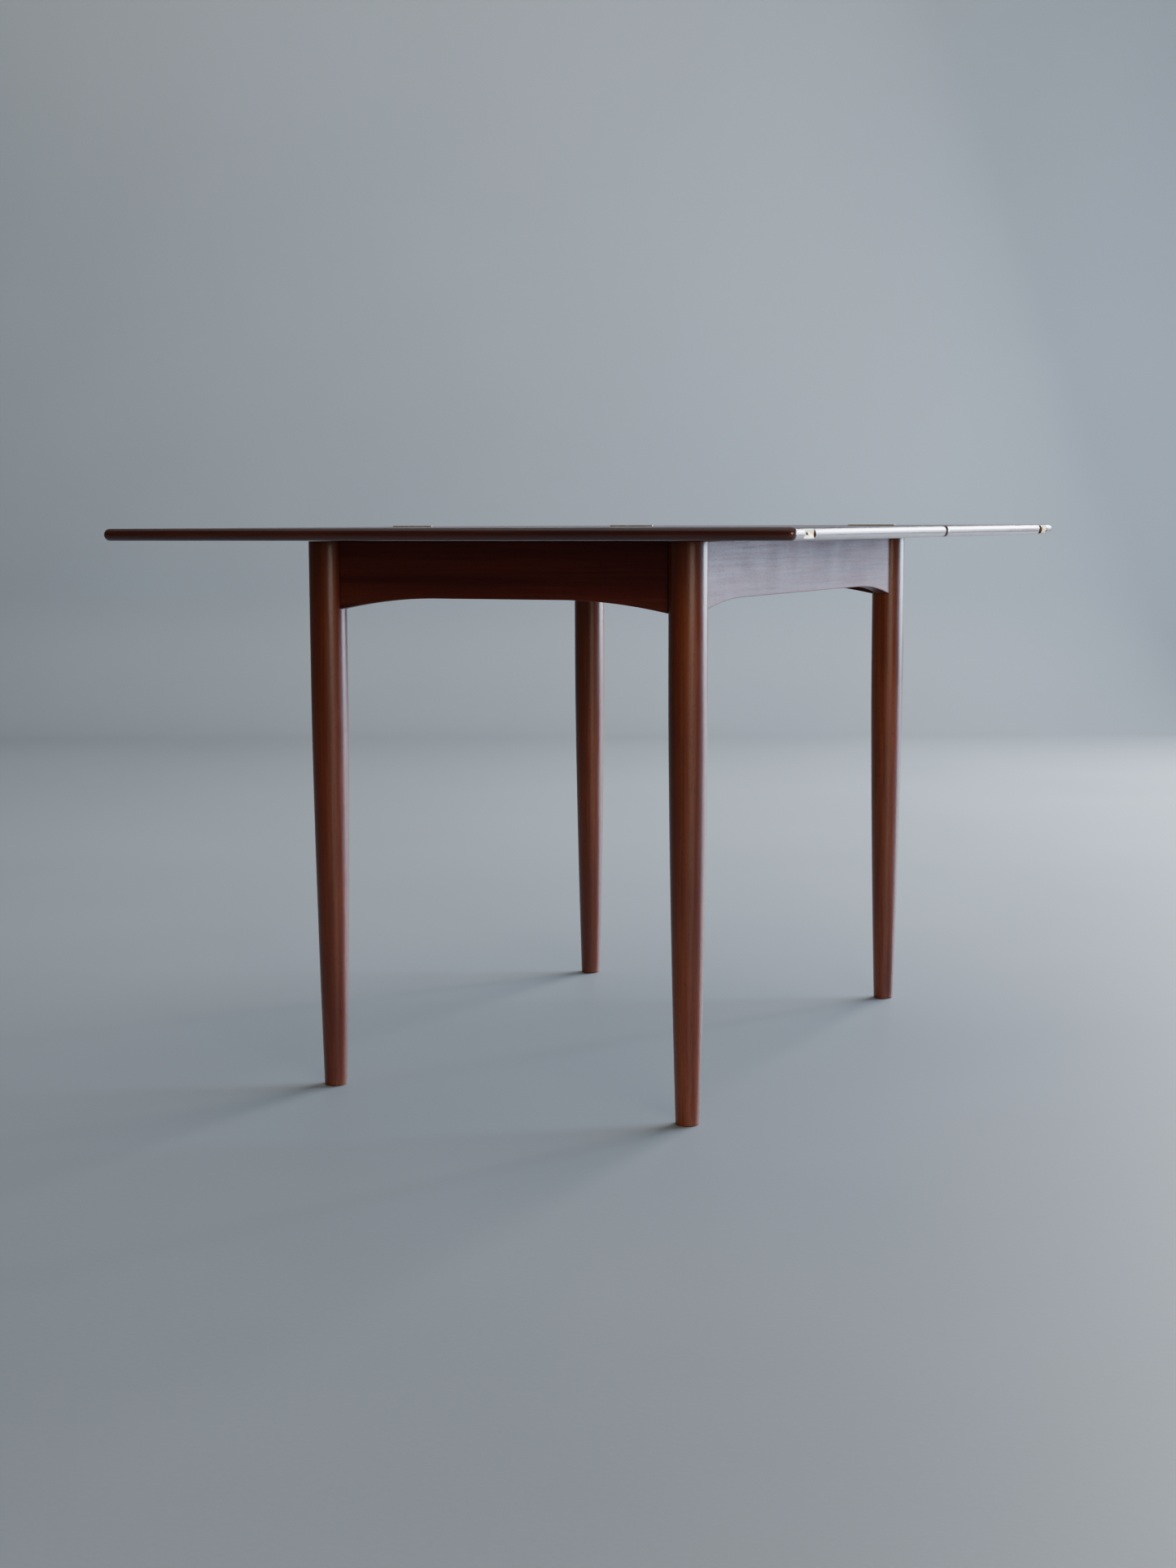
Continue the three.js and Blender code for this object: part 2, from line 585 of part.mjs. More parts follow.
/** The flat cut into the rounded side edge between two distances along Y. */
const edgeFlat = (y0, y1) => box(flatX, sideEdge + 1, y0, y1, topUnderside - 1, TABLE_HEIGHT + 1);

/** A plate let in flush with the flat, grown by a gap where it is used as a recess. */
function letInPlate(y0, y1, gap) {
  const [low, high] = [catchZ - plateHalf - gap, catchZ + plateHalf + gap];
  const inner = platePlane - CATCH_PLATE_THICKNESS - gap;
  return box(inner, platePlane + (2 * gap) / 3, y0 - gap, y1 + gap, low, high);
}

/** A shouldered stud facing +X: a shank in the wood, a neck, and a thin head flush with the edge. */
function stud(head, shankEnd, gap = 0) {
  const length = sideEdge - shankEnd;
  const neckEnd = length - CATCH_HEAD_THICKNESS;
  const neck = CATCH_NECK + gap;
  const points = [[0, 0], [neck, 0], [neck, neckEnd], [head, neckEnd], [head, length], [0, length]];
  return turned(points, SMALL_SIDES);
}
const studAt = (head, y, gap) => solid(
  aimed(stud(head, flatX - CATCH_SCREW.length, gap), [flatX - CATCH_SCREW.length, y, catchZ], [1, 0, 0]),
);

const strikeEnds = [strikeY - STRIKE_TAIL + 1, strikeY + SWING_ROOM - 1];
const strikeHole = studAt(STRIKE_HEAD, strikeY, HOLE_GAP);
const strike = letInPlate(...strikeEnds, 0);
add('strike_plate', cut(strike, strikeHole, screwHoles(CATCH_SCREW, strikeScrewPlaces)), brass);
add('strike_pin', studAt(STRIKE_HEAD, strikeY, 0), steel);
addScrews('strike_screw', CATCH_SCREW, strikeScrewPlaces, brass);

const catchEnds = [CATCH_AT - SWING_ROOM + 1, CATCH_AT + CATCH_TAIL - 1];
const pivotHole = studAt(PIVOT_HEAD, CATCH_AT, HOLE_GAP);
const catchPlate = letInPlate(...catchEnds, 0);
add('catch_plate', cut(catchPlate, pivotHole, screwHoles(CATCH_SCREW, catchScrewPlaces)), brass);
addScrews('catch_plate_screw', CATCH_SCREW, catchScrewPlaces, brass);
add('catch_pivot_screw', studAt(PIVOT_HEAD, CATCH_AT, 0), brass);

/** The catch arm, lying along the edge: a strip with a round heel, and a hook that opens upwards. */
function catchArm() {
  const half = ARM_WIDTH / 2;
  const outline = new THREE.Shape();
  outline.absarc(0, 0, half, -TURN, TURN, false);
  outline.lineTo(-ARM_REACH + 1, half);
  outline.lineTo(-ARM_REACH, half - 1);
  outline.lineTo(-ARM_REACH, -half + 1);
  outline.lineTo(-ARM_REACH + 1, -half);
  outline.closePath();
  const [under, over] = [-1, ARM_THICKNESS + 1];
  const seat = rod(HOOK_HALF_WIDTH, under, over, SMALL_SIDES).translate(-strikeReach, 0, 0);
  const [mouthWidth, mouthDepth, mouthTall] = [2 * HOOK_HALF_WIDTH, half + 1, over - under];
  const mouth = new THREE.BoxGeometry(mouthWidth, mouthDepth, mouthTall);
  mouth.translate(-strikeReach, mouthDepth / 2, (under + over) / 2);
  const eye = rod(CATCH_NECK + HOLE_GAP, under, over, SMALL_SIDES);
  // Stand the flat arm up against the edge: its X along Y, its Y along Z, its thickness along X.
  const stand = new THREE.Matrix4().set(
    0, 0, 1, armInner,
    1, 0, 0, CATCH_AT,
    0, 1, 0, catchZ,
    0, 0, 0, 1,
  );
  const stood = (shape) => solid(shape.applyMatrix4(stand));
  return cut(stood(slab(outline, 0, ARM_THICKNESS)), ...[seat, mouth, eye].map(stood));
}
add('catch_arm', catchArm(), brass);

// ---- The two halves of the top ------------------------------------------------------------------

/** The whole of one half: a board with a rounded edge all round and slightly rounded corners. */
function halfBoard(side) {
  const nose = TOP_THICKNESS / 2 - 0.1;
  const [w, d] = [sideEdge - nose, HALF_DEPTH / 2 - nose];
  const inner = new THREE.Shape();
  inner.moveTo(-w, -d);
  for (const [x, y] of [[w, -d], [w, d], [-w, d]]) inner.lineTo(x, y);
  inner.closePath();
  const geometry = new THREE.ExtrudeGeometry(inner, {
    depth: TOP_THICKNESS - 2 * nose,
    bevelThickness: nose,
    bevelSize: nose,
    bevelSegments: NOSE_STEPS,
  });
  const board = solid(geometry.translate(0, side * halfCentre, topUnderside + nose));
  const [x, y, r] = [sideEdge, HALF_DEPTH / 2, CORNER_RADIUS];
  const plan = new THREE.Shape();
  plan.absarc(x - r, y - r, r, 0, TURN, false);
  plan.absarc(-x + r, y - r, r, TURN, 2 * TURN, false);
  plan.absarc(-x + r, -y + r, r, 2 * TURN, 3 * TURN, false);
  plan.absarc(x - r, -y + r, r, 3 * TURN, 4 * TURN, false);
  const prism = slab(plan, topUnderside - 1, TABLE_HEIGHT + 1, 5).translate(0, side * halfCentre, 0);
  return board.intersect(solid(prism));
}

/** One half of the top as a panel and four lippings, with everything let into it cut out. */
function makeHalf(name, side, cuts) {
  const board = cut(halfBoard(side), ...cuts);
  const [z0, z1] = [topUnderside - 1, TABLE_HEIGHT + 1];
  const [w, far] = [sideEdge + 1, outerEdge + 1];
  const inX = sideEdge - LIPPING_WIDTH;
  const [inSplit, inOuter] = [splitEdge + LIPPING_WIDTH, outerEdge - LIPPING_WIDTH];
  const gap = GLUE_GAP;
  const piece = (x0, x1, y0, y1) => {
    const span = [side * y0, side * y1].sort((a, b) => a - b);
    return board.intersect(box(x0, x1, ...span, z0, z1));
  };
  add(`${name}_panel`, piece(-inX + gap, inX - gap, inSplit + gap, inOuter - gap), topWood);
  add(`${name}_lipping_outer`, piece(-w, w, inOuter, far), lippingWood);
  add(`${name}_lipping_split`, piece(-w, w, splitEdge - 1, inSplit), lippingWood);
  add(`${name}_lipping_left`, piece(-w, -inX, inSplit + gap, inOuter - gap), lippingWood);
  add(`${name}_lipping_right`, piece(inX, w, inSplit + gap, inOuter - gap), lippingWood);
}

makeHalf('front', -1, [
  hingeRecesses(-1),
  screwHoles(HINGE_SCREW, hingeScrewPlaces(-1)),
  screwHoles(PLATE_SCREW, plateScrewPlaces, GLUE_GAP),
  edgeFlat(strikeY - STRIKE_TAIL, strikeY + SWING_ROOM),
  letInPlate(...strikeEnds, GLUE_GAP),
  strikeHole,
  screwHoles(CATCH_SCREW, strikeScrewPlaces),
]);

/** The blind finger notch at the arm's tip, round at the end towards the split. */
function fingerNotch() {
  const y = CATCH_AT - SWING_ROOM;
  const roundEnd = y - NOTCH_LENGTH + NOTCH_RADIUS;
  const floor = sideEdge - NOTCH_DEPTH;
  const bore = rod(NOTCH_RADIUS, floor, sideEdge + 1, ROUND_SIDES).rotateY(TURN);
  bore.translate(0, roundEnd, catchZ);
  const run = box(floor, sideEdge + 1, roundEnd, y + 1, catchZ - NOTCH_RADIUS, catchZ + NOTCH_RADIUS);
  return joined([solid(bore), run]);
}

makeHalf('back', 1, [
  hingeRecesses(1),
  screwHoles(HINGE_SCREW, hingeScrewPlaces(1)),
  edgeFlat(CATCH_AT - SWING_ROOM, CATCH_AT + CATCH_TAIL),
  letInPlate(...catchEnds, GLUE_GAP),
  pivotHole,
  screwHoles(CATCH_SCREW, catchScrewPlaces),
  fingerNotch(),
]);

export default table;
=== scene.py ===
from math import cos, pi, radians, sin, sqrt

import bmesh
import bpy
import numpy as np
from mathutils import Matrix, Vector


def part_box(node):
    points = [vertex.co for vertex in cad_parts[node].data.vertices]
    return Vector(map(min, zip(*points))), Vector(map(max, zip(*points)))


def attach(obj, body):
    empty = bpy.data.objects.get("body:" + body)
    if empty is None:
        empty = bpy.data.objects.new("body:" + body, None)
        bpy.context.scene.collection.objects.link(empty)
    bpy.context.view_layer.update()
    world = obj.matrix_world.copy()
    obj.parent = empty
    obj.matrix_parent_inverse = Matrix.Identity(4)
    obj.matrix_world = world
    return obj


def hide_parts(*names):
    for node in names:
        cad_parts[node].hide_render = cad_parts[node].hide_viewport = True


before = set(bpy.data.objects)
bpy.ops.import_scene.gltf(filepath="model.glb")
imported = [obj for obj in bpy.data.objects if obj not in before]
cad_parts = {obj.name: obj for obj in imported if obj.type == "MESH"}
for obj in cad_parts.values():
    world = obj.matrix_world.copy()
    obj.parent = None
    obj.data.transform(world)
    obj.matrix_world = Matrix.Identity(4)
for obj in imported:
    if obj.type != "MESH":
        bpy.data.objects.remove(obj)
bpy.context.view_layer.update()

# ---- Legs ---------------------------------------------------------------------------------------
# Four solid mahogany legs, turned round: straight for the top quarter, then drawn in ever faster
# to a small foot with an eased edge. They are stained red-brown and varnished to a satin sheen, with
# the grain up the leg. The aprons' tenons would be inside them, out of sight, and are left out.

MAHOGANY_DARK = (0.048, 0.0066, 0.0016)
MAHOGANY_MIDDLE = (0.165, 0.0265, 0.0042)
MAHOGANY_LIGHT = (0.340, 0.082, 0.0150)
PORE_COLOUR = (0.012, 0.0035, 0.002)
# The pale of rubbed varnish, which along the top's side edges is also a painted highlight.
WORN_AND_HIGHLIGHT_COLOUR = (0.36, 0.155, 0.075)

FOOT_RADIUS = 0.0148
TAPER_HEIGHT = 0.515
TAPER_POWER = 1.6
FOOT_EASE = 0.0018
TOP_EASE = 0.0006
SOLE_RING = 0.4  # a ring of points under the foot, as a share of the sole's radius
FOOT_WEAR = ((0.95, 0.006), (0.16, 0.05))  # how rubbed, and the height it fades over
LEG_SIDES = 96
LEG_RINGS = 90
GRAIN_TURN = {"X": (0, 0, 0), "Y": (0, 0, -pi / 2), "Z": (0, pi / 2, 0)}


class Wiring:
    """The node tree of one finish, with short calls for the nodes that the finishes share."""

    def __init__(self, name):
        self.material = bpy.data.materials.new(name)
        self.material.use_nodes = True
        self.tree = self.material.node_tree
        self.shader = self.tree.nodes["Principled BSDF"]
        self.place = self.node("ShaderNodeTexCoord").outputs["Object"]

    def node(self, kind, inputs=None, **settings):
        """A new node. An input is either an even value or the socket that feeds it."""
        made = self.tree.nodes.new(kind)
        for key, value in settings.items():
            setattr(made, key, value)
        for key, value in (inputs or {}).items():
            if isinstance(value, bpy.types.NodeSocket):
                self.tree.links.new(value, made.inputs[key])
            else:
                made.inputs[key].default_value = value
        return made

    def mapped(self, turn=(0, 0, 0), scale=(1, 1, 1), shift=(0, 0, 0)):
        """Object coordinates turned so that the grain runs along X, then stretched."""
        turned = self.node("ShaderNodeMapping", {0: self.place, "Rotation": turn, "Location": shift})
        return self.node("ShaderNodeMapping", {0: turned.outputs[0], "Scale": scale}).outputs[0]

    def noise(self, where, scale=1.0, detail=3.0, rough=0.55, distortion=0.0):
        """Cloudy noise round 0.5, with scale features in a metre."""
        settings = {"Vector": where, "Scale": scale, "Detail": detail, "Roughness": rough,
                    "Distortion": distortion}
        return self.node("ShaderNodeTexNoise", settings).outputs["Fac"]

    def remap(self, value, low, high, out_low=0.0, out_high=1.0):
        """Stretches low to high onto another range, and holds it there."""
        settings = {"Value": value, 1: low, 2: high, 3: out_low, 4: out_high}
        return self.node("ShaderNodeMapRange", settings, clamp=True).outputs[0]

    def sum(self, a, b, kind="ADD"):
        """One value from two, added unless kind says otherwise."""
        return self.node("ShaderNodeMath", {0: a, 1: b}, operation=kind).outputs[0]

    def mix(self, amount, first, second):
        """The first colour, going over to the second as the amount rises from 0 to 1."""
        made = self.node("ShaderNodeMix", data_type="RGBA")
        for socket, value in (("Factor_Float", amount), ("A_Color", first), ("B_Color", second)):
            target = next(s for s in made.inputs if s.identifier == socket)
            if isinstance(value, bpy.types.NodeSocket):
                self.tree.links.new(value, target)
            else:
                target.default_value = value if socket == "Factor_Float" else (*value, 1)
        return next(s for s in made.outputs if s.identifier == "Result_Color")

    def ramp(self, value, stops):
        """A colour for each value, between the stops given as places and colours."""
        made = self.node("ShaderNodeValToRGB", {0: value})
        elements = made.color_ramp.elements
        while len(elements) < len(stops):
            elements.new(0.5)
        for element, (place, colour) in zip(elements, stops):
            element.position = place
            element.color = (*colour, 1)
        return made.outputs["Color"]

    def bump(self, height, distance, strength, under=None):
        """A relief of the given depth in metres, on top of another one if there is one."""
        settings = {"Height": height, "Distance": distance, "Strength": strength}
        if under is not None:
            settings["Normal"] = under
        return self.node("ShaderNodeBump", settings).outputs[0]

    def wear_and_highlight(self):
        """How rubbed the finish is here, as kept on the piece's points; along the top's side edges it also
        holds a painted highlight.
        """
        return self.node("ShaderNodeAttribute", attribute_name="wear_and_highlight").outputs["Fac"]

    def finish(self, links, **constants):
        """Wires the varying inputs of the shader and sets the even ones on its own sockets."""
        for key, value in links.items():
            self.tree.links.new(value, self.shader.inputs[key])
        for key, value in constants.items():
            self.shader.inputs[key.replace("_", " ")].default_value = value
        return self.material


# How many features of each kind lie in a metre: along the grain, then across it both ways.
BAND_SCALE = (0.9, 34, 34)
SWAY_SCALE = (1.4, 9, 9)
STREAK_SCALE = (7, 330, 330)
FIBRE_SCALE = (22, 1500, 1500)
PORE_SCALE = (150, 1900, 1900)
CLOUD_SCALE = (3.2, 7, 7)
SCUFF_SCALE = (26, 520, 520)
BAND_SHARE, SWAY_SHARE, STREAK_SHARE, FIBRE_SHARE = 0.46, 0.22, 0.24, 0.08  # of the wood's tone
USUAL = (0.3, 0.7)  # the range that a noise mostly keeps to
CLOUD_DEPTH, PORE_DEPTH, WEAR_AND_HIGHLIGHT_DEPTH = 0.42, 0.75, 0.6  # how far each one changes the colour
PORE_DULL, WORN_DULL = 0.2, 0.12  # how much rougher each one makes the varnish
BAND_RELIEF, FIBRE_RELIEF = 0.0006, 0.00006


def polished_wood(name, grain, dark, middle, light, shift=(0, 0, 0), figure=1.0, rough=0.34, coat=0.2,
                  shine=0.5):
    """Stained, satin-varnished wood: growth bands, fibre streaks and pores, worn pale at edges, and on the
    top's lippings a painted highlight along the side edges.
    """
    w = Wiring(name)
    turn = GRAIN_TURN[grain]
    sway = w.noise(w.mapped(turn, SWAY_SCALE, shift), detail=2.0)
    bands = w.noise(w.mapped(turn, tuple(figure * s for s in BAND_SCALE), shift), detail=3.5, rough=0.6,
                    distortion=0.7)
    streaks = w.noise(w.mapped(turn, STREAK_SCALE, shift), detail=4.0, rough=0.65)
    fibres = w.noise(w.mapped(turn, FIBRE_SCALE, shift), detail=3.0, rough=0.6)
    pores = w.remap(w.noise(w.mapped(turn, PORE_SCALE, shift), detail=1.0, rough=0.4), 0.64, 0.74)
    clouds = w.noise(w.mapped(turn, CLOUD_SCALE, shift))
    tone = w.sum(w.sum(w.remap(bands, *USUAL, 0, BAND_SHARE), w.remap(sway, *USUAL, 0, SWAY_SHARE)),
                 w.sum(w.remap(streaks, *USUAL, 0, STREAK_SHARE), w.remap(fibres, *USUAL, 0, FIBRE_SHARE)))
    colour = w.ramp(tone, [(0.06, dark), (0.5, middle), (0.94, light)])
    colour = w.mix(w.remap(clouds, 0.35, 0.75, 0, CLOUD_DEPTH), colour, dark)
    colour = w.mix(w.sum(pores, PORE_DEPTH, "MULTIPLY"), colour, PORE_COLOUR)
    scuffs = w.noise(w.mapped(turn, SCUFF_SCALE, shift), detail=5.0, rough=0.7)
    # Rubbed edges go pale; on the top's side edges this paling is also a painted highlight.
    rubbed_and_lit = w.sum(w.wear_and_highlight(), w.remap(scuffs, 0.34, 0.74), "MULTIPLY")
    colour = w.mix(w.sum(rubbed_and_lit, WEAR_AND_HIGHLIGHT_DEPTH, "MULTIPLY"), colour, WORN_AND_HIGHLIGHT_COLOUR)
    sheen = w.sum(w.remap(streaks, *USUAL, rough - 0.05, rough + 0.08), w.sum(pores, PORE_DULL, "MULTIPLY"))
    sheen = w.sum(sheen, w.remap(w.noise(w.place, 14), *USUAL, -0.04, 0.06))
    sheen = w.sum(sheen, w.sum(rubbed_and_lit, WORN_DULL, "MULTIPLY"))
    ripple = w.bump(bands, BAND_RELIEF, 0.3)
    grainy = w.bump(w.sum(fibres, pores, "SUBTRACT"), FIBRE_RELIEF, 0.55, ripple)
    return w.finish({"Base Color": colour, "Roughness": sheen, "Normal": grainy}, IOR=1.5,
                    Specular_IOR_Level=shine, Coat_Weight=coat, Coat_Roughness=0.22, Coat_IOR=1.48)


def closed_surface(name, grids, sharp=35):
    """One closed mesh from grids of points: each cell is a quad, and shared edges are joined. Edges
    that turn by more than sharp degrees are shaded as edges."""
    points, faces, first = [], [], 0
    for grid in grids:
        rows, columns = grid.shape[:2]
        index = first + np.arange(rows * columns).reshape(rows, columns)
        corners = (index[:-1, :-1], index[:-1, 1:], index[1:, 1:], index[1:, :-1])
        faces.append(np.stack(corners, -1).reshape(-1, 4))
        points.append(grid.reshape(-1, 3))
        first += rows * columns
    mesh = bpy.data.meshes.new(name)
    mesh.from_pydata(np.concatenate(points).tolist(), [], np.concatenate(faces).tolist())
    return joined_up(name, mesh, sharp)


SAME_POINT = 2e-6  # points nearer than this are one point
NO_LENGTH = 1e-7  # edges shorter than this are dropped


def joined_up(name, mesh, sharp=35):
    """Merges doubled points, turns the faces outwards, and makes the object. A closed shell whose
    volume then comes out negative was turned inwards, so all of its faces are turned round."""
    work = bmesh.new()
    work.from_mesh(mesh)
    bmesh.ops.remove_doubles(work, verts=work.verts, dist=SAME_POINT)
    bmesh.ops.dissolve_degenerate(work, edges=work.edges, dist=NO_LENGTH)
    bmesh.ops.recalc_face_normals(work, faces=work.faces)
    if all(line.is_manifold for line in work.edges) and work.calc_volume(signed=True) < 0:
        bmesh.ops.reverse_faces(work, faces=work.faces)
    work.to_mesh(mesh)
    work.free()
    mesh.shade_smooth()
    mesh.set_sharp_from_angle(angle=radians(sharp))
    made = bpy.data.objects.new(name, mesh)
    bpy.context.scene.collection.objects.link(made)
    return made


def mark_wear_and_highlight(made, formula):
    """Keeps, at each point, how rubbed the finish is there, from 0 to 1; along the top's side edges this
    also holds a painted highlight.
    """
    co = np.empty(len(made.data.vertices) * 3, np.float32)
    made.data.vertices.foreach_get("co", co)
    wear_and_highlight = made.data.attributes.new("wear_and_highlight", "FLOAT", "POINT")
    wear_and_highlight.data.foreach_set("value", np.clip(formula(co.reshape(-1, 3)), 0, 1).astype(np.float32))


def fit(made, node, body, material):
    """The finished piece stands for its node, rides on its body and takes its finish."""
    made.data.materials.clear()
    made.data.materials.append(material)
    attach(made, body)
    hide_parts(node)
    return made


def leg_profile(top, radius):
    """Radius and height up the leg: the eased foot, the taper, the straight top, the eased end. The
    radius falls short of the full one by a power of the way down from the start of the taper."""
    def girth(height):
        drawn = np.clip(1 - height / TAPER_HEIGHT, 0, 1) ** TAPER_POWER
        return radius - (radius - FOOT_RADIUS) * drawn

    curl = np.linspace(-pi / 2, 0, 9)
    foot = np.stack([girth(0) - FOOT_EASE + FOOT_EASE * np.cos(curl), FOOT_EASE * (1 + np.sin(curl))], 1)
    height = np.linspace(FOOT_EASE, top - TOP_EASE, LEG_RINGS)[1:]
    shaft = np.stack([girth(height), height], 1)
    curl = np.linspace(0, pi / 2, 5)[1:]
    end = np.stack([radius - TOP_EASE + TOP_EASE * np.cos(curl), top - TOP_EASE * (1 - np.sin(curl))], 1)
    flat = np.array([[0, 0], [SOLE_RING * foot[0, 0], 0]])
    return np.concatenate([flat, foot, shaft, end, [[0, top]]])


def turned_piece(name, profile, centre, sides=LEG_SIDES):
    """A profile of radius and height carried round a vertical axis."""
    angle = np.linspace(0, 2 * pi, sides + 1)
    radius, height = profile[:, :1], profile[:, 1:]
    grid = np.stack([centre[0] + radius * np.cos(angle), centre[1] + radius * np.sin(angle),
                     centre[2] + height * np.ones(sides + 1)], -1)
    return closed_surface(name, [grid])


def leg_wear(co):
    """Most rubbed round the foot's edge: two amounts that each die away exponentially upwards."""
    return sum(amount * np.exp(-co[:, 2] / fade) for amount, fade in FOOT_WEAR)


LEG_NAMES = ["leg_front_left", "leg_front_right", "leg_back_right", "leg_back_left"]
leg_axes = {}
for at, node in enumerate(LEG_NAMES):
    low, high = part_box(node)
    middle = (low + high) / 2
    leg_radius = (high.x - low.x) / 2
    leg_axes[node] = middle
    leg = turned_piece(node + "_turned", leg_profile(high.z, leg_radius), (middle.x, middle.y, 0))
    mark_wear_and_highlight(leg, leg_wear)
    wood = polished_wood(f"leg_mahogany_{at + 1}", "Z", MAHOGANY_DARK, MAHOGANY_MIDDLE,
                         MAHOGANY_LIGHT, shift=(1.7 * at, 0.31 * at, 0.13 * at), figure=0.8, coat=0.45)
    fit(leg, node, "frame", wood)

# ---- Aprons -------------------------------------------------------------------------------------
# Four mahogany boards between the legs, their ends hollowed to fit the round legs. The lower edge
# is straight in the middle and sweeps down to an ear at each leg. The long edges are lightly eased,
# and the grain runs along the board.

EAR_DROP = 0.0146
EAR_LENGTH = 0.140
EAR_POWER = 2
APRON_EASE = 0.0012
APRON_CELLS = (120, 6, 10)  # along it, through it and up it
APRON_WEAR, APRON_WEAR_FADE = 0.22, 0.0016  # at the lower edge, and the height it fades over
LEG_EDGE = 0.001  # the ear ends this far inside the leg's skin
APRON_DARK = (0.026, 0.0030, 0.0020)
APRON_MIDDLE = (0.090, 0.0110, 0.0058)
APRON_LIGHT = (0.175, 0.0290, 0.0140)


def stations(low, high, ease, count):
    """Places along one side of a block: close together in its rounded edges, then spread out."""
    curl = ease * (1 - np.tan(np.linspace(pi / 4, 0, 5)))
    near = [at for at in (2.5 * ease, 5 * ease) if at < 0.3 * (high - low)]
    inner = np.linspace(low + ease, high - ease, count + 1)[1:-1]
    places = [low + curl, high - curl, low + np.array(near), high - np.array(near), inner]
    return np.unique(np.round(np.concatenate(places), 9))


def block_grids(low, high, ease, counts):
    """Six faces of a block whose edges are rounded: each point is pushed out from a smaller block."""
    low, high = np.array(low, float), np.array(high, float)
    lines = [stations(low[k], high[k], ease, counts[k]) for k in range(3)]
    grids = []
    for axis in range(3):
        first, second = [k for k in range(3) if k != axis]
        for side in (low, high):
            a, b = np.meshgrid(lines[first], lines[second], indexing="ij")
            grid = np.empty((*a.shape, 3))
            grid[..., first], grid[..., second], grid[..., axis] = a, b, side[axis]
            core = np.clip(grid, low + ease, high - ease)
            out = grid - core
            length = np.linalg.norm(out, axis=-1, keepdims=True)
            grids.append(core + out / np.maximum(length, 1e-12) * ease)
    return grids


def quarter_turned(points, quarters):
    """Points turned about the upright axis by whole quarter turns."""
    x, y, z = points[..., 0], points[..., 1], points[..., 2]
    for _ in range(quarters % 4):
        x, y = -y, x
    return np.stack([x, y, z], -1)


def apron_edge(x, half, radius, level):
    """Height of the lower edge: level, then falling by a power of the way along the ear."""
    end = half - radius + LEG_EDGE
    along = np.clip((np.abs(x) - (end - EAR_LENGTH)) / EAR_LENGTH, 0, 1)
    return level - EAR_DROP * along ** EAR_POWER


def apron(name, span, setback, low, high, line, quarters):
    """A block along X, stretched at each depth to meet the round legs and at each point along it
    down to the shaped lower edge, then moved out by line and turned by whole quarters."""
    half = span / 2
    shoulder = half - sqrt(leg_radius ** 2 - setback[1] ** 2)
    grids = block_grids((-shoulder, setback[0], low), (shoulder, setback[1], high), APRON_EASE, APRON_CELLS)
    shaped = []
    for grid in grids:
        x, y, z = grid[..., 0], grid[..., 1], grid[..., 2]
        x = x / shoulder * (half - np.sqrt(leg_radius ** 2 - y ** 2))
        edge = apron_edge(x, half, leg_radius, low + EAR_DROP)
        z = high - (high - z) * (high - edge) / (high - low)
        shaped.append(quarter_turned(np.stack([x, y - line, z], -1), quarters))
    return closed_surface(name, shaped)


APRONS = [("apron_front", 0, "X"), ("apron_right", 1, "Y"), ("apron_back", 2, "X"), ("apron_left", 3, "Y")]
front_left, back_right = leg_axes["leg_front_left"], leg_axes["leg_back_right"]
spans = {"X": back_right.x - front_left.x, "Y": back_right.y - front_left.y}
for node, quarters, grain in APRONS:
    low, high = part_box(node)
    across = "Y" if grain == "X" else "X"
    line = spans[across] / 2
    thick = (low.y, high.y) if grain == "X" else (low.x, high.x)
    outer, inner = max(abs(t) for t in thick), min(abs(t) for t in thick)
    setback = (-(outer - line), line - inner)
    board = apron(node + "_shaped", spans[grain], setback, low.z, high.z, line, quarters)
    level = low.z + EAR_DROP
    mark_wear_and_highlight(board, lambda co: APRON_WEAR * np.exp(-np.clip(co[:, 2] - level, 0, 1) / APRON_WEAR_FADE))
    wood = polished_wood(f"{node}_mahogany", grain, APRON_DARK, APRON_MIDDLE, APRON_LIGHT,
                         shift=(0.9 * quarters, 0.4 * quarters, 0.21 * quarters), rough=0.46, coat=0.04,
                         shine=0.36)
    fit(board, node, "frame", wood)

# ---- Felt strips --------------------------------------------------------------------------------
# Strips of dark green wool felt glued along the top edges of the aprons, which the top slides on
# as it turns. The pile is matted and its cut edges are soft.

FELT_DARK = (0.010, 0.022, 0.014)
FELT_LIGHT = (0.045, 0.085, 0.055)
FELT_EASE = 0.0004


def felt_finish():
    """Matted wool: tangled fibres in two sizes, pressed flatter in patches."""
    w = Wiring("felt")
    tangle = w.noise(w.place, 2600, detail=5.0, rough=0.75, distortion=1.2)
    patches = w.noise(w.place, 55)
    colour = w.ramp(w.sum(w.sum(tangle, 0.7, "MULTIPLY"), w.sum(patches, 0.3, "MULTIPLY")),
                    [(0.3, FELT_DARK), (0.72, FELT_LIGHT)])
    return w.finish({"Base Color": colour, "Roughness": w.remap(patches, *USUAL, 0.82, 0.97),
                     "Normal": w.bump(tangle, 0.0003, 0.8)}, Sheen_Weight=0.5, Sheen_Roughness=0.4)


felt = felt_finish()
for side in ("front", "right", "back", "left"):
    node = "felt_strip_" + side
    low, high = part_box(node)
    counts = (60, 4, 2) if side in ("front", "back") else (4, 60, 2)
    strip = closed_surface(node + "_pile", block_grids(low, high, FELT_EASE, counts))
    fit(strip, node, "frame", felt)

# ---- Corner blocks ------------------------------------------------------------------------------
# Plain beech blocks, blunt triangles in plan, glued into the corners under the top and held by two
# long screws each. They are sawn and left bare, so only their sharp edges are knocked off.

BEECH_DARK = (0.190, 0.100, 0.045)
BEECH_MIDDLE = (0.330, 0.190, 0.092)
BEECH_LIGHT = (0.450, 0.285, 0.150)
SAW_RELIEF = 0.00012
BLOCK_EASE = 0.0006
FLAT_ANGLE = 1  # degrees: triangles that meet more flatly than this are one face
CORNER_ANGLE = 42  # degrees: edges sharper than this are rounded over


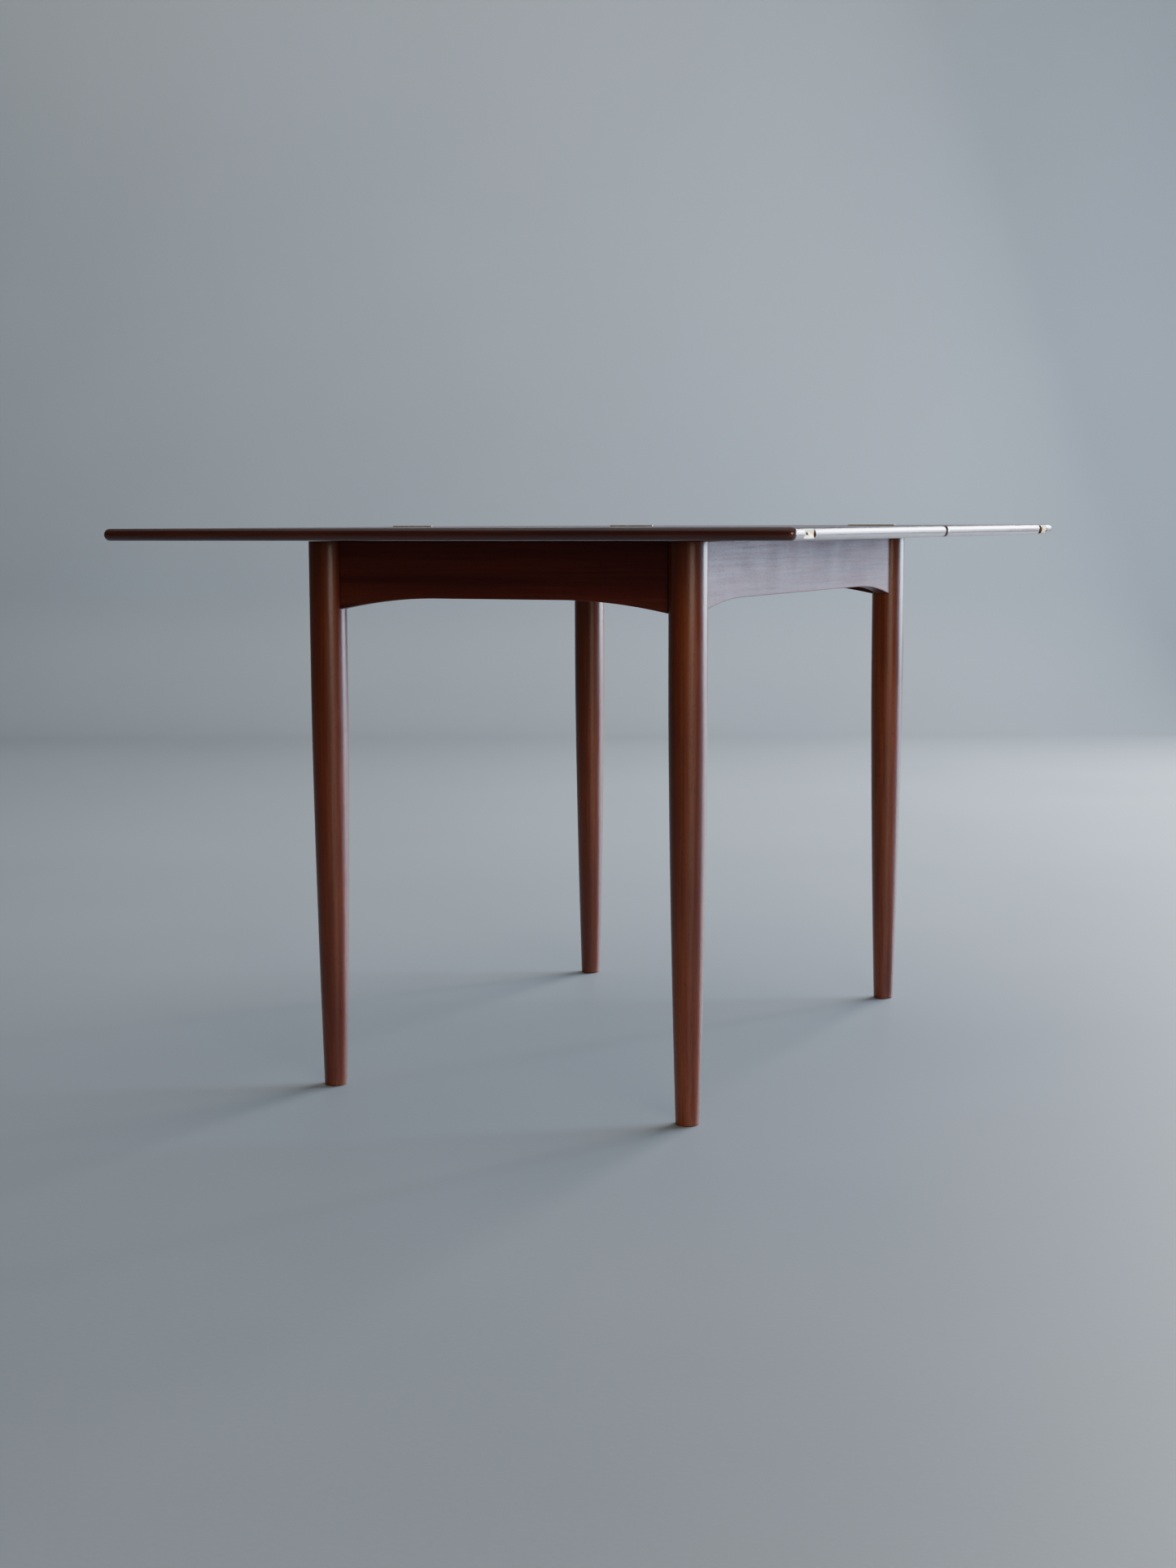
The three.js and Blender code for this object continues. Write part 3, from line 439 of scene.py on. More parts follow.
def bare_wood(name, grain):
    """Sawn beech with no varnish: short dark flecks, faint growth bands and a dry, dusty skin."""
    w = Wiring(name)
    turn = GRAIN_TURN[grain]
    bands = w.noise(w.mapped(turn, (1.5, 45, 45)), rough=0.6, distortion=0.5)
    flecks = w.remap(w.noise(w.mapped(turn, (230, 1300, 1300)), detail=1.5), 0.6, 0.72)
    saw = w.noise(w.mapped(turn, (700, 40, 40)), detail=2.0)
    age = w.noise(w.place, 9, detail=4.0)
    colour = w.ramp(bands, [(0.3, BEECH_DARK), (0.52, BEECH_MIDDLE), (0.74, BEECH_LIGHT)])
    colour = w.mix(w.sum(flecks, 0.55, "MULTIPLY"), colour, BEECH_DARK)
    colour = w.mix(w.remap(age, 0.4, 0.75, 0, 0.5), colour, BEECH_DARK)
    rough = w.remap(saw, *USUAL, 0.66, 0.82)
    marks = w.bump(w.sum(saw, flecks, "SUBTRACT"), SAW_RELIEF, 0.5)
    return w.finish({"Base Color": colour, "Roughness": rough, "Normal": marks})


def eased(node, suffix, ease, sharp=35, whole_faces=True):
    """The node's own solid with its corners rounded over, and its triangles joined into whole faces
    unless holes that run into each other would leave slivers."""
    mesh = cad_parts[node].data.copy()
    mesh.materials.clear()
    made = joined_up(node + suffix, mesh, sharp)
    if whole_faces:
        work = bmesh.new()
        work.from_mesh(made.data)
        bmesh.ops.dissolve_limit(work, angle_limit=radians(FLAT_ANGLE), verts=work.verts, edges=work.edges)
        work.to_mesh(made.data)
        work.free()
    bevel = made.modifiers.new("ease", "BEVEL")
    bevel.width = ease
    bevel.segments = 2
    bevel.limit_method = "ANGLE"
    bevel.angle_limit = radians(CORNER_ANGLE)
    bevel.harden_normals = True
    return made


beech = {grain: bare_wood("beech_along_" + grain.lower(), grain) for grain in "XY"}
for corner in ("front_left", "front_right", "back_right", "back_left"):
    node = "corner_block_" + corner
    block = eased(node, "_sawn", BLOCK_EASE, whole_faces=False)
    fit(block, node, "frame", beech["X"])

STEEL_DARK = (0.16, 0.16, 0.165)
STEEL_LIGHT = (0.46, 0.47, 0.48)
STEEL_SPOTS = (0.09, 0.075, 0.06)
SCRATCH_RELIEF = 0.00003
SCREW_SLOT = 0.16  # half the slot's width, as a share of the head's radius
SLOT_DEPTH = 0.28  # as a share of the head's radius
# Chords across the head, as shares of its radius. The doubled ones are the slot's two walls.
HEAD_CHORDS = (-1, -0.86, -0.6, -0.36, -SCREW_SLOT, -SCREW_SLOT, 0, SCREW_SLOT, SCREW_SLOT,
               0.36, 0.6, 0.86, 1.0)
SLOT_CHORDS = slice(5, 8)
THREAD_RINGS = 22
THREAD_ROOT = 0.78  # as a share of the shank's radius
DRIVER_STEP = 0.83  # radians that each unit of a screw's name turns its slot


def worked_metal(name, dark, light, tarnish, rough=0.3):
    """Drawn or pressed metal gone dull: fine scratches both ways, and brown or grey spots."""
    w = Wiring(name)
    one = w.noise(w.mapped(scale=(60, 2600, 2600)))
    other = w.noise(w.mapped(scale=(2400, 90, 2400)))
    spots = w.remap(w.noise(w.place, 210, detail=5.0, rough=0.68), 0.46, 0.72)
    dull = w.remap(w.noise(w.place, 38), 0.35, 0.7)
    colour = w.mix(w.sum(one, other, "MULTIPLY"), light, dark)
    colour = w.mix(w.sum(w.sum(spots, dull, "MULTIPLY"), 0.8, "MULTIPLY"), colour, tarnish)
    grit = w.sum(w.remap(dull, 0, 1, rough, rough + 0.16), w.sum(spots, 0.12, "MULTIPLY"))
    marks = w.bump(w.sum(one, other), SCRATCH_RELIEF, 0.4, w.bump(spots, SCRATCH_RELIEF, 0.3))
    return w.finish({"Base Color": colour, "Roughness": grit, "Normal": marks}, Metallic=1.0)


steel = worked_metal("zinc_steel", STEEL_DARK, STEEL_LIGHT, STEEL_SPOTS, 0.34)


def countersunk_screw(name, at, way, head, shank, length, slot_turn=0.0):
    """A slotted wood screw. The head's flat top is a fan of straight chords, so that those between
    the slot's walls can be let down; its rim narrows at 45 degrees into a shank with thread ridges."""
    depth = SLOT_DEPTH * head
    across = np.array(HEAD_CHORDS)
    let_down = np.zeros(len(across))
    let_down[SLOT_CHORDS] = depth
    rim = head - let_down
    x = np.clip(across * head, -rim, rim)
    reach = np.sqrt(np.maximum(rim ** 2 - x ** 2, 0))
    span = np.linspace(-1, 1, 7)
    top = np.stack([x[:, None] + 0 * span, reach[:, None] * span, -let_down[:, None] + 0 * span], -1)
    neck = head - shank
    ridges = np.linspace(neck + 0.3 * (length - neck), length - 1.5 * shank, THREAD_RINGS)
    radius = np.where(np.arange(THREAD_RINGS) % 2, shank, THREAD_ROOT * shank)
    radius = np.concatenate([[shank, shank], radius, [0.5 * shank, 0]])
    down = np.concatenate([[neck, ridges[0] - 0.2 * shank], ridges, [length - 0.7 * shank, length]])
    turn = np.arccos(np.clip(x / rim, -1, 1))
    grids = [top]
    for side in (-1, 1):
        rings = [np.stack([x, side * reach, -let_down], -1)]
        for r, d in zip(radius, down):
            rings.append(np.stack([r * np.cos(turn), side * r * np.sin(turn), -d + 0 * x], -1))
        grids.append(np.stack(rings))
    spin = Matrix.Rotation(slot_turn, 4, "Z")
    aim = Vector(way).to_track_quat("Z", "Y").to_matrix().to_4x4()
    place = np.array(Matrix.Translation(at) @ aim @ spin)
    placed = [g @ place[:3, :3].T + place[:3, 3] for g in grids]
    return closed_surface(name, placed, sharp=40)


def drive(name, at, way, sizes, material, body="frame"):
    """Makes one screw of a set and leaves its slot wherever the last turn of the driver did."""
    slot_turn = sum(map(ord, name)) * DRIVER_STEP
    made = countersunk_screw(name, at, way, *sizes, slot_turn)
    made.data.materials.append(material)
    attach(made, body)
    return made


BLOCK_SCREW = (0.004, 0.0019, 0.030)  # radius of the head, radius of the shank, length
BLOCK_SCREW_LONG = 0.049  # along the apron from the leg's axis to the screw
BLOCK_SCREW_HEAD = 0.031  # from the leg's axis in to the screw's head
for quarter, corner in enumerate(("front_left", "front_right", "back_right", "back_left")):
    low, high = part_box("corner_block_" + corner)
    axis = leg_axes["leg_" + corner]
    for number, (along, inward) in enumerate(((BLOCK_SCREW_LONG, BLOCK_SCREW_HEAD),
                                              (BLOCK_SCREW_HEAD, BLOCK_SCREW_LONG))):
        step = quarter_turned(np.array([along, inward, 0.0]), quarter)
        way = quarter_turned(np.array([0.0, 1, 0] if number == 0 else [1.0, 0, 0]), quarter)
        at = (axis.x + step[0], axis.y + step[1], (low.z + high.z) / 2)
        drive(f"corner_block_screw_{corner}_{number + 1}", at, way, BLOCK_SCREW, steel)

# ---- Pivot rail and cleats ----------------------------------------------------------------------
# A broad beech rail across the frame carries the pivot. It lies on a cleat at each end, which is
# screwed sideways to the apron, and the rail is screwed down into the cleats.

RAIL_EASE = 0.0009
RAIL_SCREW = (0.004, 0.0019, 0.032)
CLEAT_SCREW = (0.004, 0.0019, 0.036)
RAIL_SCREW_AT = 0.018
CLEAT_SCREW_AT = 0.036
SCREW_SUNK = 0.0003
rail_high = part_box("pivot_rail")[1]
fit(eased("pivot_rail", "_planed", RAIL_EASE), "pivot_rail", "frame", beech["X"])
for name, sign in (("left", -1), ("right", 1)):
    node = "rail_cleat_" + name
    low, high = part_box(node)
    fit(eased(node, "_planed", RAIL_EASE), node, "frame", beech["Y"])
    middle_y = (low.y + high.y) / 2
    cleat_x = (low.x + high.x) / 2
    inner_x = low.x if sign > 0 else high.x
    for number, step in enumerate((-1, 1)):
        at = (cleat_x, middle_y + step * RAIL_SCREW_AT, rail_high.z - SCREW_SUNK)
        drive(f"rail_screw_{name}_{number + 1}", at, (0, 0, 1), RAIL_SCREW, steel)
        at = (inner_x, middle_y + step * CLEAT_SCREW_AT, (low.z + high.z) / 2)
        drive(f"cleat_screw_{name}_{number + 1}", at, (-sign, 0, 0), CLEAT_SCREW, steel)

# ---- Pivot --------------------------------------------------------------------------------------
# A round steel plate screwed up against the underside of the front half carries a fixed bolt. The
# bolt turns in a brass bush in the rail and is held below by a washer, a spring washer and a nut,
# while a steel peg beside it runs in a groove and stops the top after a quarter turn.

BRASS_DARK = (0.20, 0.125, 0.050)
BRASS_LIGHT = (0.52, 0.385, 0.19)
BRASS_TARNISH = (0.10, 0.055, 0.022)
METAL_EASE = 0.0003
BOLT_RADIUS = 0.005
BOLT_HEAD_DEPTH = 0.003
BOLT_TIP = 0.0012
BOLT_HEAD_EASE = 0.0004
BOLT_SIDES = 48
THREAD_PITCH = 0.0015
THREAD_DEPTH = 0.0006
THREAD_END = 0.018
PLAIN_START = 0.0195
brass = worked_metal("aged_brass", BRASS_DARK, BRASS_LIGHT, BRASS_TARNISH, 0.27)
PIVOT_PIECES = [("pivot_bush", "frame", "brass"), ("pivot_plate", "front_top", "steel"),
                ("stop_peg", "front_top", "steel"), ("pivot_washer", "front_top", "steel"),
                ("pivot_spring_washer", "front_top", "steel"), ("pivot_nut", "front_top", "steel")]
for node, body, metal in PIVOT_PIECES:
    piece = eased(node, "_turned", METAL_EASE)
    fit(piece, node, body, brass if metal == "brass" else steel)


def bolt_profile(length, shaft, head):
    """Radius and height up the bolt: the tip, ridges and hollows in turn, a plain shaft, a flat head."""
    ridges = np.arange(BOLT_TIP, THREAD_END, THREAD_PITCH / 2)
    thread = np.where(np.arange(len(ridges)) % 2, shaft - THREAD_DEPTH, shaft)
    under = length - BOLT_HEAD_DEPTH
    lower = [[0, 0], [shaft - BOLT_TIP, 0]]
    upper = [[shaft, PLAIN_START], [shaft, under], [head - BOLT_HEAD_EASE, under],
             [head, under + BOLT_HEAD_EASE], [head, length], [0, length]]
    return np.concatenate([lower, np.stack([thread, ridges], 1), upper])


low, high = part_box("pivot_bolt")
head = (high.x - low.x) / 2
bolt = turned_piece("pivot_bolt_threaded", bolt_profile(high.z - low.z, BOLT_RADIUS, head),
                    ((low.x + high.x) / 2, (low.y + high.y) / 2, low.z), BOLT_SIDES)
fit(bolt, "pivot_bolt", "front_top", steel)

PLATE_SCREW_HEAD = 0.0036
PLATE_SHANK = 0.0017
for number in range(1, 5):
    node = f"pivot_plate_screw_{number}"
    low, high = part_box(node)
    at = ((low.x + high.x) / 2, (low.y + high.y) / 2, low.z)
    screw = countersunk_screw(node + "_slotted", at, (0, 0, -1), PLATE_SCREW_HEAD, PLATE_SHANK,
                              high.z - low.z, 0.9 * number)
    fit(screw, node, "front_top", steel)

# ---- The two halves of the top ------------------------------------------------------------------
# Each half is a veneered panel with a solid lipping glued all round. The lipping is rounded to a
# full nose from the face to the underside, even along the split. Near one corner its edge is cut
# flat for the catch, and the back one has a finger notch beside the arm.

TOP_DARK = (0.040, 0.0055, 0.0020)
TOP_MIDDLE = (0.125, 0.0210, 0.0060)
TOP_LIGHT = (0.230, 0.0520, 0.0150)
LIPPING_DARK = (0.020, 0.0022, 0.0016)
LIPPING_MIDDLE = (0.060, 0.0080, 0.0045)
LIPPING_LIGHT = (0.150, 0.0300, 0.0130)
CORNER_RADIUS = 0.008
NOSE_STEPS = 14
NOSE_CELLS = 120  # along a long lipping
STRIP_CELLS = 80  # along a short one
FACE_STEPS = (0.5, 0.85, 1.0)  # rings across a lipping's face, as shares of the way to the joint
PANEL_CELLS = (60, 40, 1)
JOINT_EASE = 0.00018
JOINT_LINE = 0.00006  # the glued joint that shows as a hairline
JOINT_SPREAD = 0.03  # towards even spacing along the joint, so that no face is squeezed to a line
GLUE_LINE = 0.00015  # from a panel's edge to the middle of its joint
CUTTER_EASE = 0.00005


def nose_path(half_x, outer, inner, inset):
    """Plan outline of a long lipping, drawn in by inset: up one end, round a corner, along the
    edge, round the other corner and down again. A corner's radius shrinks as it is drawn in."""
    radius = max(CORNER_RADIUS - inset, 0)
    x, y = half_x - inset, outer - inset
    curl = np.linspace(pi, pi / 2, 9)
    up = np.linspace(inner, y - radius, 5)[:-1]
    along = np.linspace(-(x - radius), x - radius, NOSE_CELLS + 1)[1:-1]
    left = np.stack([np.full(4, -x), up], 1)
    first = np.stack([-(x - radius) + radius * np.cos(curl), y - radius + radius * np.sin(curl)], 1)
    edge = np.stack([along, np.full(len(along), y)], 1)
    mirrored = np.concatenate([left, first])[::-1] * (-1, 1)
    return np.concatenate([left, first, edge, mirrored])


def long_lipping(name, half_x, outer, inner, low_z, high_z, side):
    """The nose path at each level of a half round, drawn in by the half round's own fall, then rings
    across the face, down the inner side and back under it. Both ends have a cap."""
    nose = (high_z - low_z) / 2
    middle = (high_z + low_z) / 2
    rings = []
    for angle in np.linspace(-pi / 2, pi / 2, 2 * NOSE_STEPS + 1):
        path = nose_path(half_x, outer, inner, nose * (1 - cos(angle)))
        rings.append(np.c_[path, np.full(len(path), middle + nose * sin(angle))])
    inside = rings[-1]
    even = np.linspace(inside[0, 0], inside[-1, 0], len(inside))
    spread = inside[:, 0] + JOINT_SPREAD * (even - inside[:, 0])
    joint = np.c_[spread, np.full(len(inside), inner), inside[:, 2]]
    for share in FACE_STEPS:
        ring = inside + (joint - inside) * share
        rings.append(ring)
    for angle in np.linspace(pi / 2, -pi / 2, 2 * NOSE_STEPS + 1)[1:]:
        ring = ring.copy()
        ring[:, 2] = middle + nose * sin(angle)
        rings.append(ring)
    for share in (*FACE_STEPS[-2::-1], 0.0):
        ring = inside + (joint - inside) * share
        ring[:, 2] = low_z
        rings.append(ring)
    grid = np.stack(rings)
    caps = []
    for end in (0, -1):
        rim = grid[:2 * NOSE_STEPS + 1, end]
        seam = rim.copy()
        seam[:, 0] = rim[-1, 0]
        caps.append(np.stack([rim, seam]))
    grids = [g * (1, side, 1) for g in (grid, *caps)]
    return closed_surface(name, grids, sharp=50)


def short_lipping(name, edge_x, inner_x, from_y, to_y, low_z, high_z, sign):
    """A straight strip: its half-round section is carried along Y and closed at both ends."""
    nose = (high_z - low_z) / 2
    middle = (high_z + low_z) / 2
    curl = np.linspace(-pi / 2, pi / 2, 2 * NOSE_STEPS + 1)
    section = np.stack([edge_x - nose + nose * np.cos(curl), middle + nose * np.sin(curl)], 1)
    back = np.stack([np.full(len(curl), inner_x), section[:, 1]], 1)
    along = np.linspace(from_y, to_y, STRIP_CELLS + 1)
    skin = np.concatenate([section, back[::-1], section[:1]])
    grid = np.stack([np.c_[skin[:, 0], np.full(len(skin), y), skin[:, 1]] for y in along])
    caps = [np.stack([np.c_[s[:, 0], np.full(len(s), y), s[:, 1]] for s in (section, back)])
            for y in (from_y, to_y)]
    return closed_surface(name, [g * (sign, 1, 1) for g in (grid, *caps)], sharp=50)


def hollowed(made, cutters):
    """Takes the cutters out of a piece and bakes the result into its mesh."""
    for cutter in cutters:
        cut = made.modifiers.new("cut", "BOOLEAN")
        cut.operation, cut.solver, cut.object = "DIFFERENCE", "EXACT", cutter
    shaped = bpy.data.meshes.new_from_object(made.evaluated_get(bpy.context.evaluated_depsgraph_get()))
    made.modifiers.clear()
    made.data = shaped
    for cutter in cutters:
        bpy.data.objects.remove(cutter)
    shaped.shade_smooth()
    shaped.set_sharp_from_angle(angle=radians(40))
    return made


def plain_cutter(low, high):
    """A block to cut with."""
    return closed_surface("cutter", block_grids(low, high, CUTTER_EASE, (1, 1, 1)))


def slot_cutter(floor_x, out_x, round_y, end_y, z, radius):
    """A slot's shape: a half circle towards the split, straight sides to the other end."""
    curl = np.linspace(pi / 2, 3 * pi / 2, 25)
    y = np.concatenate([[end_y], round_y + radius * np.cos(curl), [end_y]])
    height = np.concatenate([[z + radius], z + radius * np.sin(curl), [z - radius]])
    outline = np.stack([y, height], 1)
    half = len(outline) // 2
    upper, lower = outline[:half + 1], outline[half:][::-1]
    faces = [np.stack([np.c_[np.full(len(s), x), s] for s in (upper, lower)]) for x in (floor_x, out_x)]
    loop = np.concatenate([outline, outline[:1]])
    wall = np.stack([np.c_[np.full(len(loop), x), loop] for x in (floor_x, out_x)])
    return closed_surface("cutter", [wall, *faces])


top_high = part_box("front_panel")[1]
EDGE_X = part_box("front_lipping_outer")[1].x
OUTER_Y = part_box("back_lipping_outer")[1].y
# The side weight is partly wear and largely a painted highlight on the side edges; the end and corner
# weights are wear.
SIDE_WEAR_AND_HIGHLIGHT, SIDE_REACH = 0.62, 0.004
END_WEAR, END_REACH = 0.1, 0.0012
CORNER_WEAR, CORNER_REACH = 0.4, 0.010
veneer = {name: polished_wood(f"{name}_veneer", "X", TOP_DARK, TOP_MIDDLE, TOP_LIGHT, shift=shift,
                              figure=0.55, rough=0.33)
          for name, shift in (("front", (0.3, 0.2, 0.4)), ("back", (0.35, 0.9, 0.1)))}
lipping_wood = {grain: polished_wood("lipping_along_" + grain.lower(), grain, LIPPING_DARK,
                                     LIPPING_MIDDLE, LIPPING_LIGHT, shift=(0.7, 0.1, 0.5), figure=1.3,
                                     rough=0.3, coat=0.6)
                for grain in "XY"}


def edge_wear_and_highlight(co):
    """Varnish rubbed along the outermost line of the nose, at the ends and at the corners, and a painted
    highlight: the side edges are made far paler than the ends, as where light falls on them. It falls
    evenly over each reach inwards, and exponentially with the distance from a corner."""
    side = np.clip((np.abs(co[:, 0]) - EDGE_X) / SIDE_REACH + 1, 0, 1)
    end = np.clip((np.abs(co[:, 1]) - OUTER_Y) / END_REACH + 1, 0, 1)
    corner = np.hypot(EDGE_X - np.abs(co[:, 0]), OUTER_Y - np.abs(co[:, 1]))
    return SIDE_WEAR_AND_HIGHLIGHT * side + END_WEAR * end + CORNER_WEAR * np.exp(-corner / CORNER_REACH)


PAST_FACE = 0.01  # how far a cutter stands out above and below
PAST_EDGE = 0.002  # and how far out at the side
PAST_SPLIT = 0.004
PAST_PLATE = 0.003
PLATE_GAP = 0.0001  # clearance round a let-in plate
PLATE_BED = 0.0002  # and behind it
FLAT_DEPTH = 0.0022
NOTCH_DEPTH = 0.008
NOTCH_RADIUS = 0.0062
NOTCH_LENGTH = 0.018
NOTCH_LAP = 0.001  # how far the notch runs into the flat
STRIKE_MARGIN = 0.001  # between the let-in plate and the end of the flat
catch_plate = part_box("catch_plate")
strike_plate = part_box("strike_plate")
catch_flat = EDGE_X - FLAT_DEPTH
catch_middle = (catch_plate[0].z + catch_plate[1].z) / 2


def catch_cutters(name):
    """The flat, the pocket for the plate and, on the back half, the blind finger notch."""
    low, high = strike_plate if name == "front" else catch_plate
    start, end = low.y - STRIKE_MARGIN, high.y + STRIKE_MARGIN
    cutters = [plain_cutter((catch_flat, start, low.z - PAST_FACE),
                            (EDGE_X + PAST_EDGE, end, high.z + PAST_FACE)),
               plain_cutter((low.x - PLATE_BED, low.y - PLATE_GAP, low.z - PLATE_GAP),
                            (high.x + PAST_PLATE, high.y + PLATE_GAP, high.z + PLATE_GAP))]
    if name == "back":
        turn = start - NOTCH_LENGTH + NOTCH_RADIUS
        cutters.append(slot_cutter(EDGE_X - NOTCH_DEPTH, EDGE_X + PAST_EDGE, turn, start + NOTCH_LAP,
                                   catch_middle, NOTCH_RADIUS))
    return cutters


HINGE_RECESS = 0.0003  # clearance round a hinge leaf


def hinge_cutters(name, side):
    """The shallow beds that the three leaves lie in, open at the split."""
    cutters = []
    for hinge in ("left", "middle", "right"):
        low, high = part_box(f"hinge_{hinge}_{'fixed' if name == 'front' else 'moving'}_leaf")
        reach = max(side * low.y, side * high.y) + HINGE_RECESS
        ends = sorted((-PAST_SPLIT * side, side * reach))
        cutters.append(plain_cutter((low.x - HINGE_RECESS, ends[0], low.z - HINGE_RECESS),
                                    (high.x + HINGE_RECESS, ends[1], high.z + PAST_FACE)))
    return cutters


for name, side in (("front", -1), ("back", 1)):
    body = name + "_top"
    panel_low, panel_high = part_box(name + "_panel")
    low_z, high_z = panel_low.z, panel_high.z
    ys = sorted(abs(v) for v in (panel_low.y, panel_high.y))
    inner_x = panel_high.x + 0.5 * (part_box(name + "_lipping_right")[0].x - panel_high.x)
    split_line, outer_line = ys[0] - GLUE_LINE, ys[1] + GLUE_LINE
    split_low, split_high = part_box(name + "_lipping_split")
    split_edge = min(abs(split_low.y), abs(split_high.y))

    low = (-inner_x + JOINT_LINE, min(side * split_line, side * outer_line) + JOINT_LINE, low_z)
    high = (inner_x - JOINT_LINE, max(side * split_line, side * outer_line) - JOINT_LINE, high_z)
    panel = closed_surface(name + "_panel_veneered", block_grids(low, high, JOINT_EASE, PANEL_CELLS))
    hollowed(panel, hinge_cutters(name, side))
    fit(panel, name + "_panel", body, veneer[name])

    outer = long_lipping(name + "_lipping_outer_nosed", EDGE_X, OUTER_Y, outer_line, low_z, high_z, side)
    mark_wear_and_highlight(outer, edge_wear_and_highlight)
    fit(outer, name + "_lipping_outer", body, lipping_wood["X"])

    split = long_lipping(name + "_lipping_split_nosed", EDGE_X, -split_edge, -split_line, low_z, high_z,
                         -side)
    hollowed(split, hinge_cutters(name, side))
    mark_wear_and_highlight(split, edge_wear_and_highlight)
    fit(split, name + "_lipping_split", body, lipping_wood["X"])

    for end, sign in (("left", -1), ("right", 1)):
        node = f"{name}_lipping_{end}"
        y0, y1 = sorted((side * (split_line + JOINT_LINE), side * (outer_line - JOINT_LINE)))
        strip = short_lipping(node + "_nosed", EDGE_X, inner_x, y0, y1, low_z, high_z, sign)
        if end == "right":
            hollowed(strip, catch_cutters(name))
        mark_wear_and_highlight(strip, edge_wear_and_highlight)
        fit(strip, node, body, lipping_wood["Y"])

# ---- Hinges -------------------------------------------------------------------------------------
# Three brass butt hinges let flush into the face across the split. The front leaf has three
# knuckles and the back leaf two, the pin runs through all five, and each leaf has three screws.

HINGE_SCREW = (0.003, 0.0013, 0.011)
HINGE_SCREW_AT = 0.019
HINGE_SCREW_PITCH = 0.023
HINGE_SCREW_SUNK = 0.00005
LEAF_EASE = 0.0002
for hinge in ("left", "middle", "right"):
    low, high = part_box(f"hinge_{hinge}_fixed_leaf")
    middle_x = (low.x + high.x) / 2
    for leaf, body, side in (("fixed", "front_top", -1), ("moving", "back_top", 1)):
        node = f"hinge_{hinge}_{leaf}_leaf"
        fit(eased(node, "_pressed", LEAF_EASE, sharp=30), node, body, brass)
        for number, step in enumerate((-1, 0, 1)):
            at = (middle_x + step * HINGE_SCREW_PITCH, side * HINGE_SCREW_AT, top_high.z - HINGE_SCREW_SUNK)
            drive(f"hinge_{hinge}_{leaf}_screw_{number + 1}", at, (0, 0, 1), HINGE_SCREW,
                  brass, body)
    node = f"hinge_{hinge}_pin"
    fit(eased(node, "_drawn", LEAF_EASE), node, "front_top", brass)

# ---- Catch --------------------------------------------------------------------------------------
# A brass strike with a steel pin is let into the edge of the front half, and a brass arm swings on
# a screw through a plate in the back half. Folded, the arm hooks over the pin and holds the halves.

STUD_NECK = 0.0015
STUD_HEAD_DEPTH = 0.0006
STUD_CROWN = 0.0003
PLATE_SCREW_SHANK = 0.0009
for node, body, metal, ease in (("strike_plate", "front_top", "brass", 0.0001),
                                ("catch_plate", "back_top", "brass", 0.0001),
                                ("catch_arm", "catch", "brass", 0.0002)):
    fit(eased(node, "_pressed", ease), node, body, brass)


def stud_profile(length, head):
    """Radius and length: a straight shank, the head's flat underside, and a quarter of an ellipse."""
    curl = np.linspace(0, pi / 2, 7)
    start = length - STUD_HEAD_DEPTH
    dome = np.stack([head * np.cos(curl), length - STUD_CROWN + STUD_CROWN * np.sin(curl)], 1)
    return np.concatenate([[[0, 0], [STUD_NECK, 0], [STUD_NECK, start], [head, start]], dome])


def lying_stud(name, node, head):
    """Turns the stud's profile round an axis along X, through the middle of its node."""
    low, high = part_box(node)
    profile = stud_profile(high.x - low.x, head)
    angle = np.linspace(0, 2 * pi, 33)
    radius, length = profile[:, :1], profile[:, 1:]
    grid = np.stack([low.x + length + 0 * angle, (low.y + high.y) / 2 + radius * np.cos(angle),
                     (low.z + high.z) / 2 + radius * np.sin(angle)], -1)
    return closed_surface(name, [grid], sharp=30)


for node, body, head, metal in (("strike_pin", "front_top", 0.0025, steel),
                                ("catch_pivot_screw", "back_top", 0.003, brass)):
    stud = lying_stud(node + "_domed", node, head)
    fit(stud, node, body, metal)

for number, node in enumerate(("strike_screw_1", "strike_screw_2", "catch_plate_screw_1")):
    low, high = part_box(node)
    at = (high.x, (low.y + high.y) / 2, (low.z + high.z) / 2)
    screw = countersunk_screw(node + "_slotted", at, (1, 0, 0), (high.y - low.y) / 2,
                              PLATE_SCREW_SHANK, high.x - low.x, 0.7 + 1.1 * number)
    fit(screw, node, "back_top" if "catch" in node else "front_top", brass)

# ---- Floor and backdrop -------------------------------------------------------------------------
# A plain pale floor, smooth and slightly cloudy. It sweeps up through a quarter circle into a plain
# backdrop far behind the table, square to the camera's view.

FLOOR_HALF = 7.0
BACKDROP_AT = 5.0
BACKDROP_HEIGHT = 6.0
COVE_RADIUS = 0.5
CAMERA_YAW = radians(24.4957)
FLOOR_COLOUR = (0.35, 0.385, 0.40)


def floor_finish():
    """Broad clouds and fine grit, which darken the floor a little and roughen its skin."""
    w = Wiring("pale_floor")
    clouds = w.noise(w.place, 1.3, detail=4.0)
    grit = w.noise(w.place, 160)
    tone = w.sum(w.sum(clouds, 0.6, "MULTIPLY"), w.sum(grit, 0.4, "MULTIPLY"))
    colour = w.ramp(tone, [(0.35, tuple(0.93 * c for c in FLOOR_COLOUR)), (0.65, FLOOR_COLOUR)])
    return w.finish({"Base Color": colour, "Roughness": w.remap(clouds, *USUAL, 0.5, 0.62),
                     "Normal": w.bump(grit, 0.0004, 0.2)})


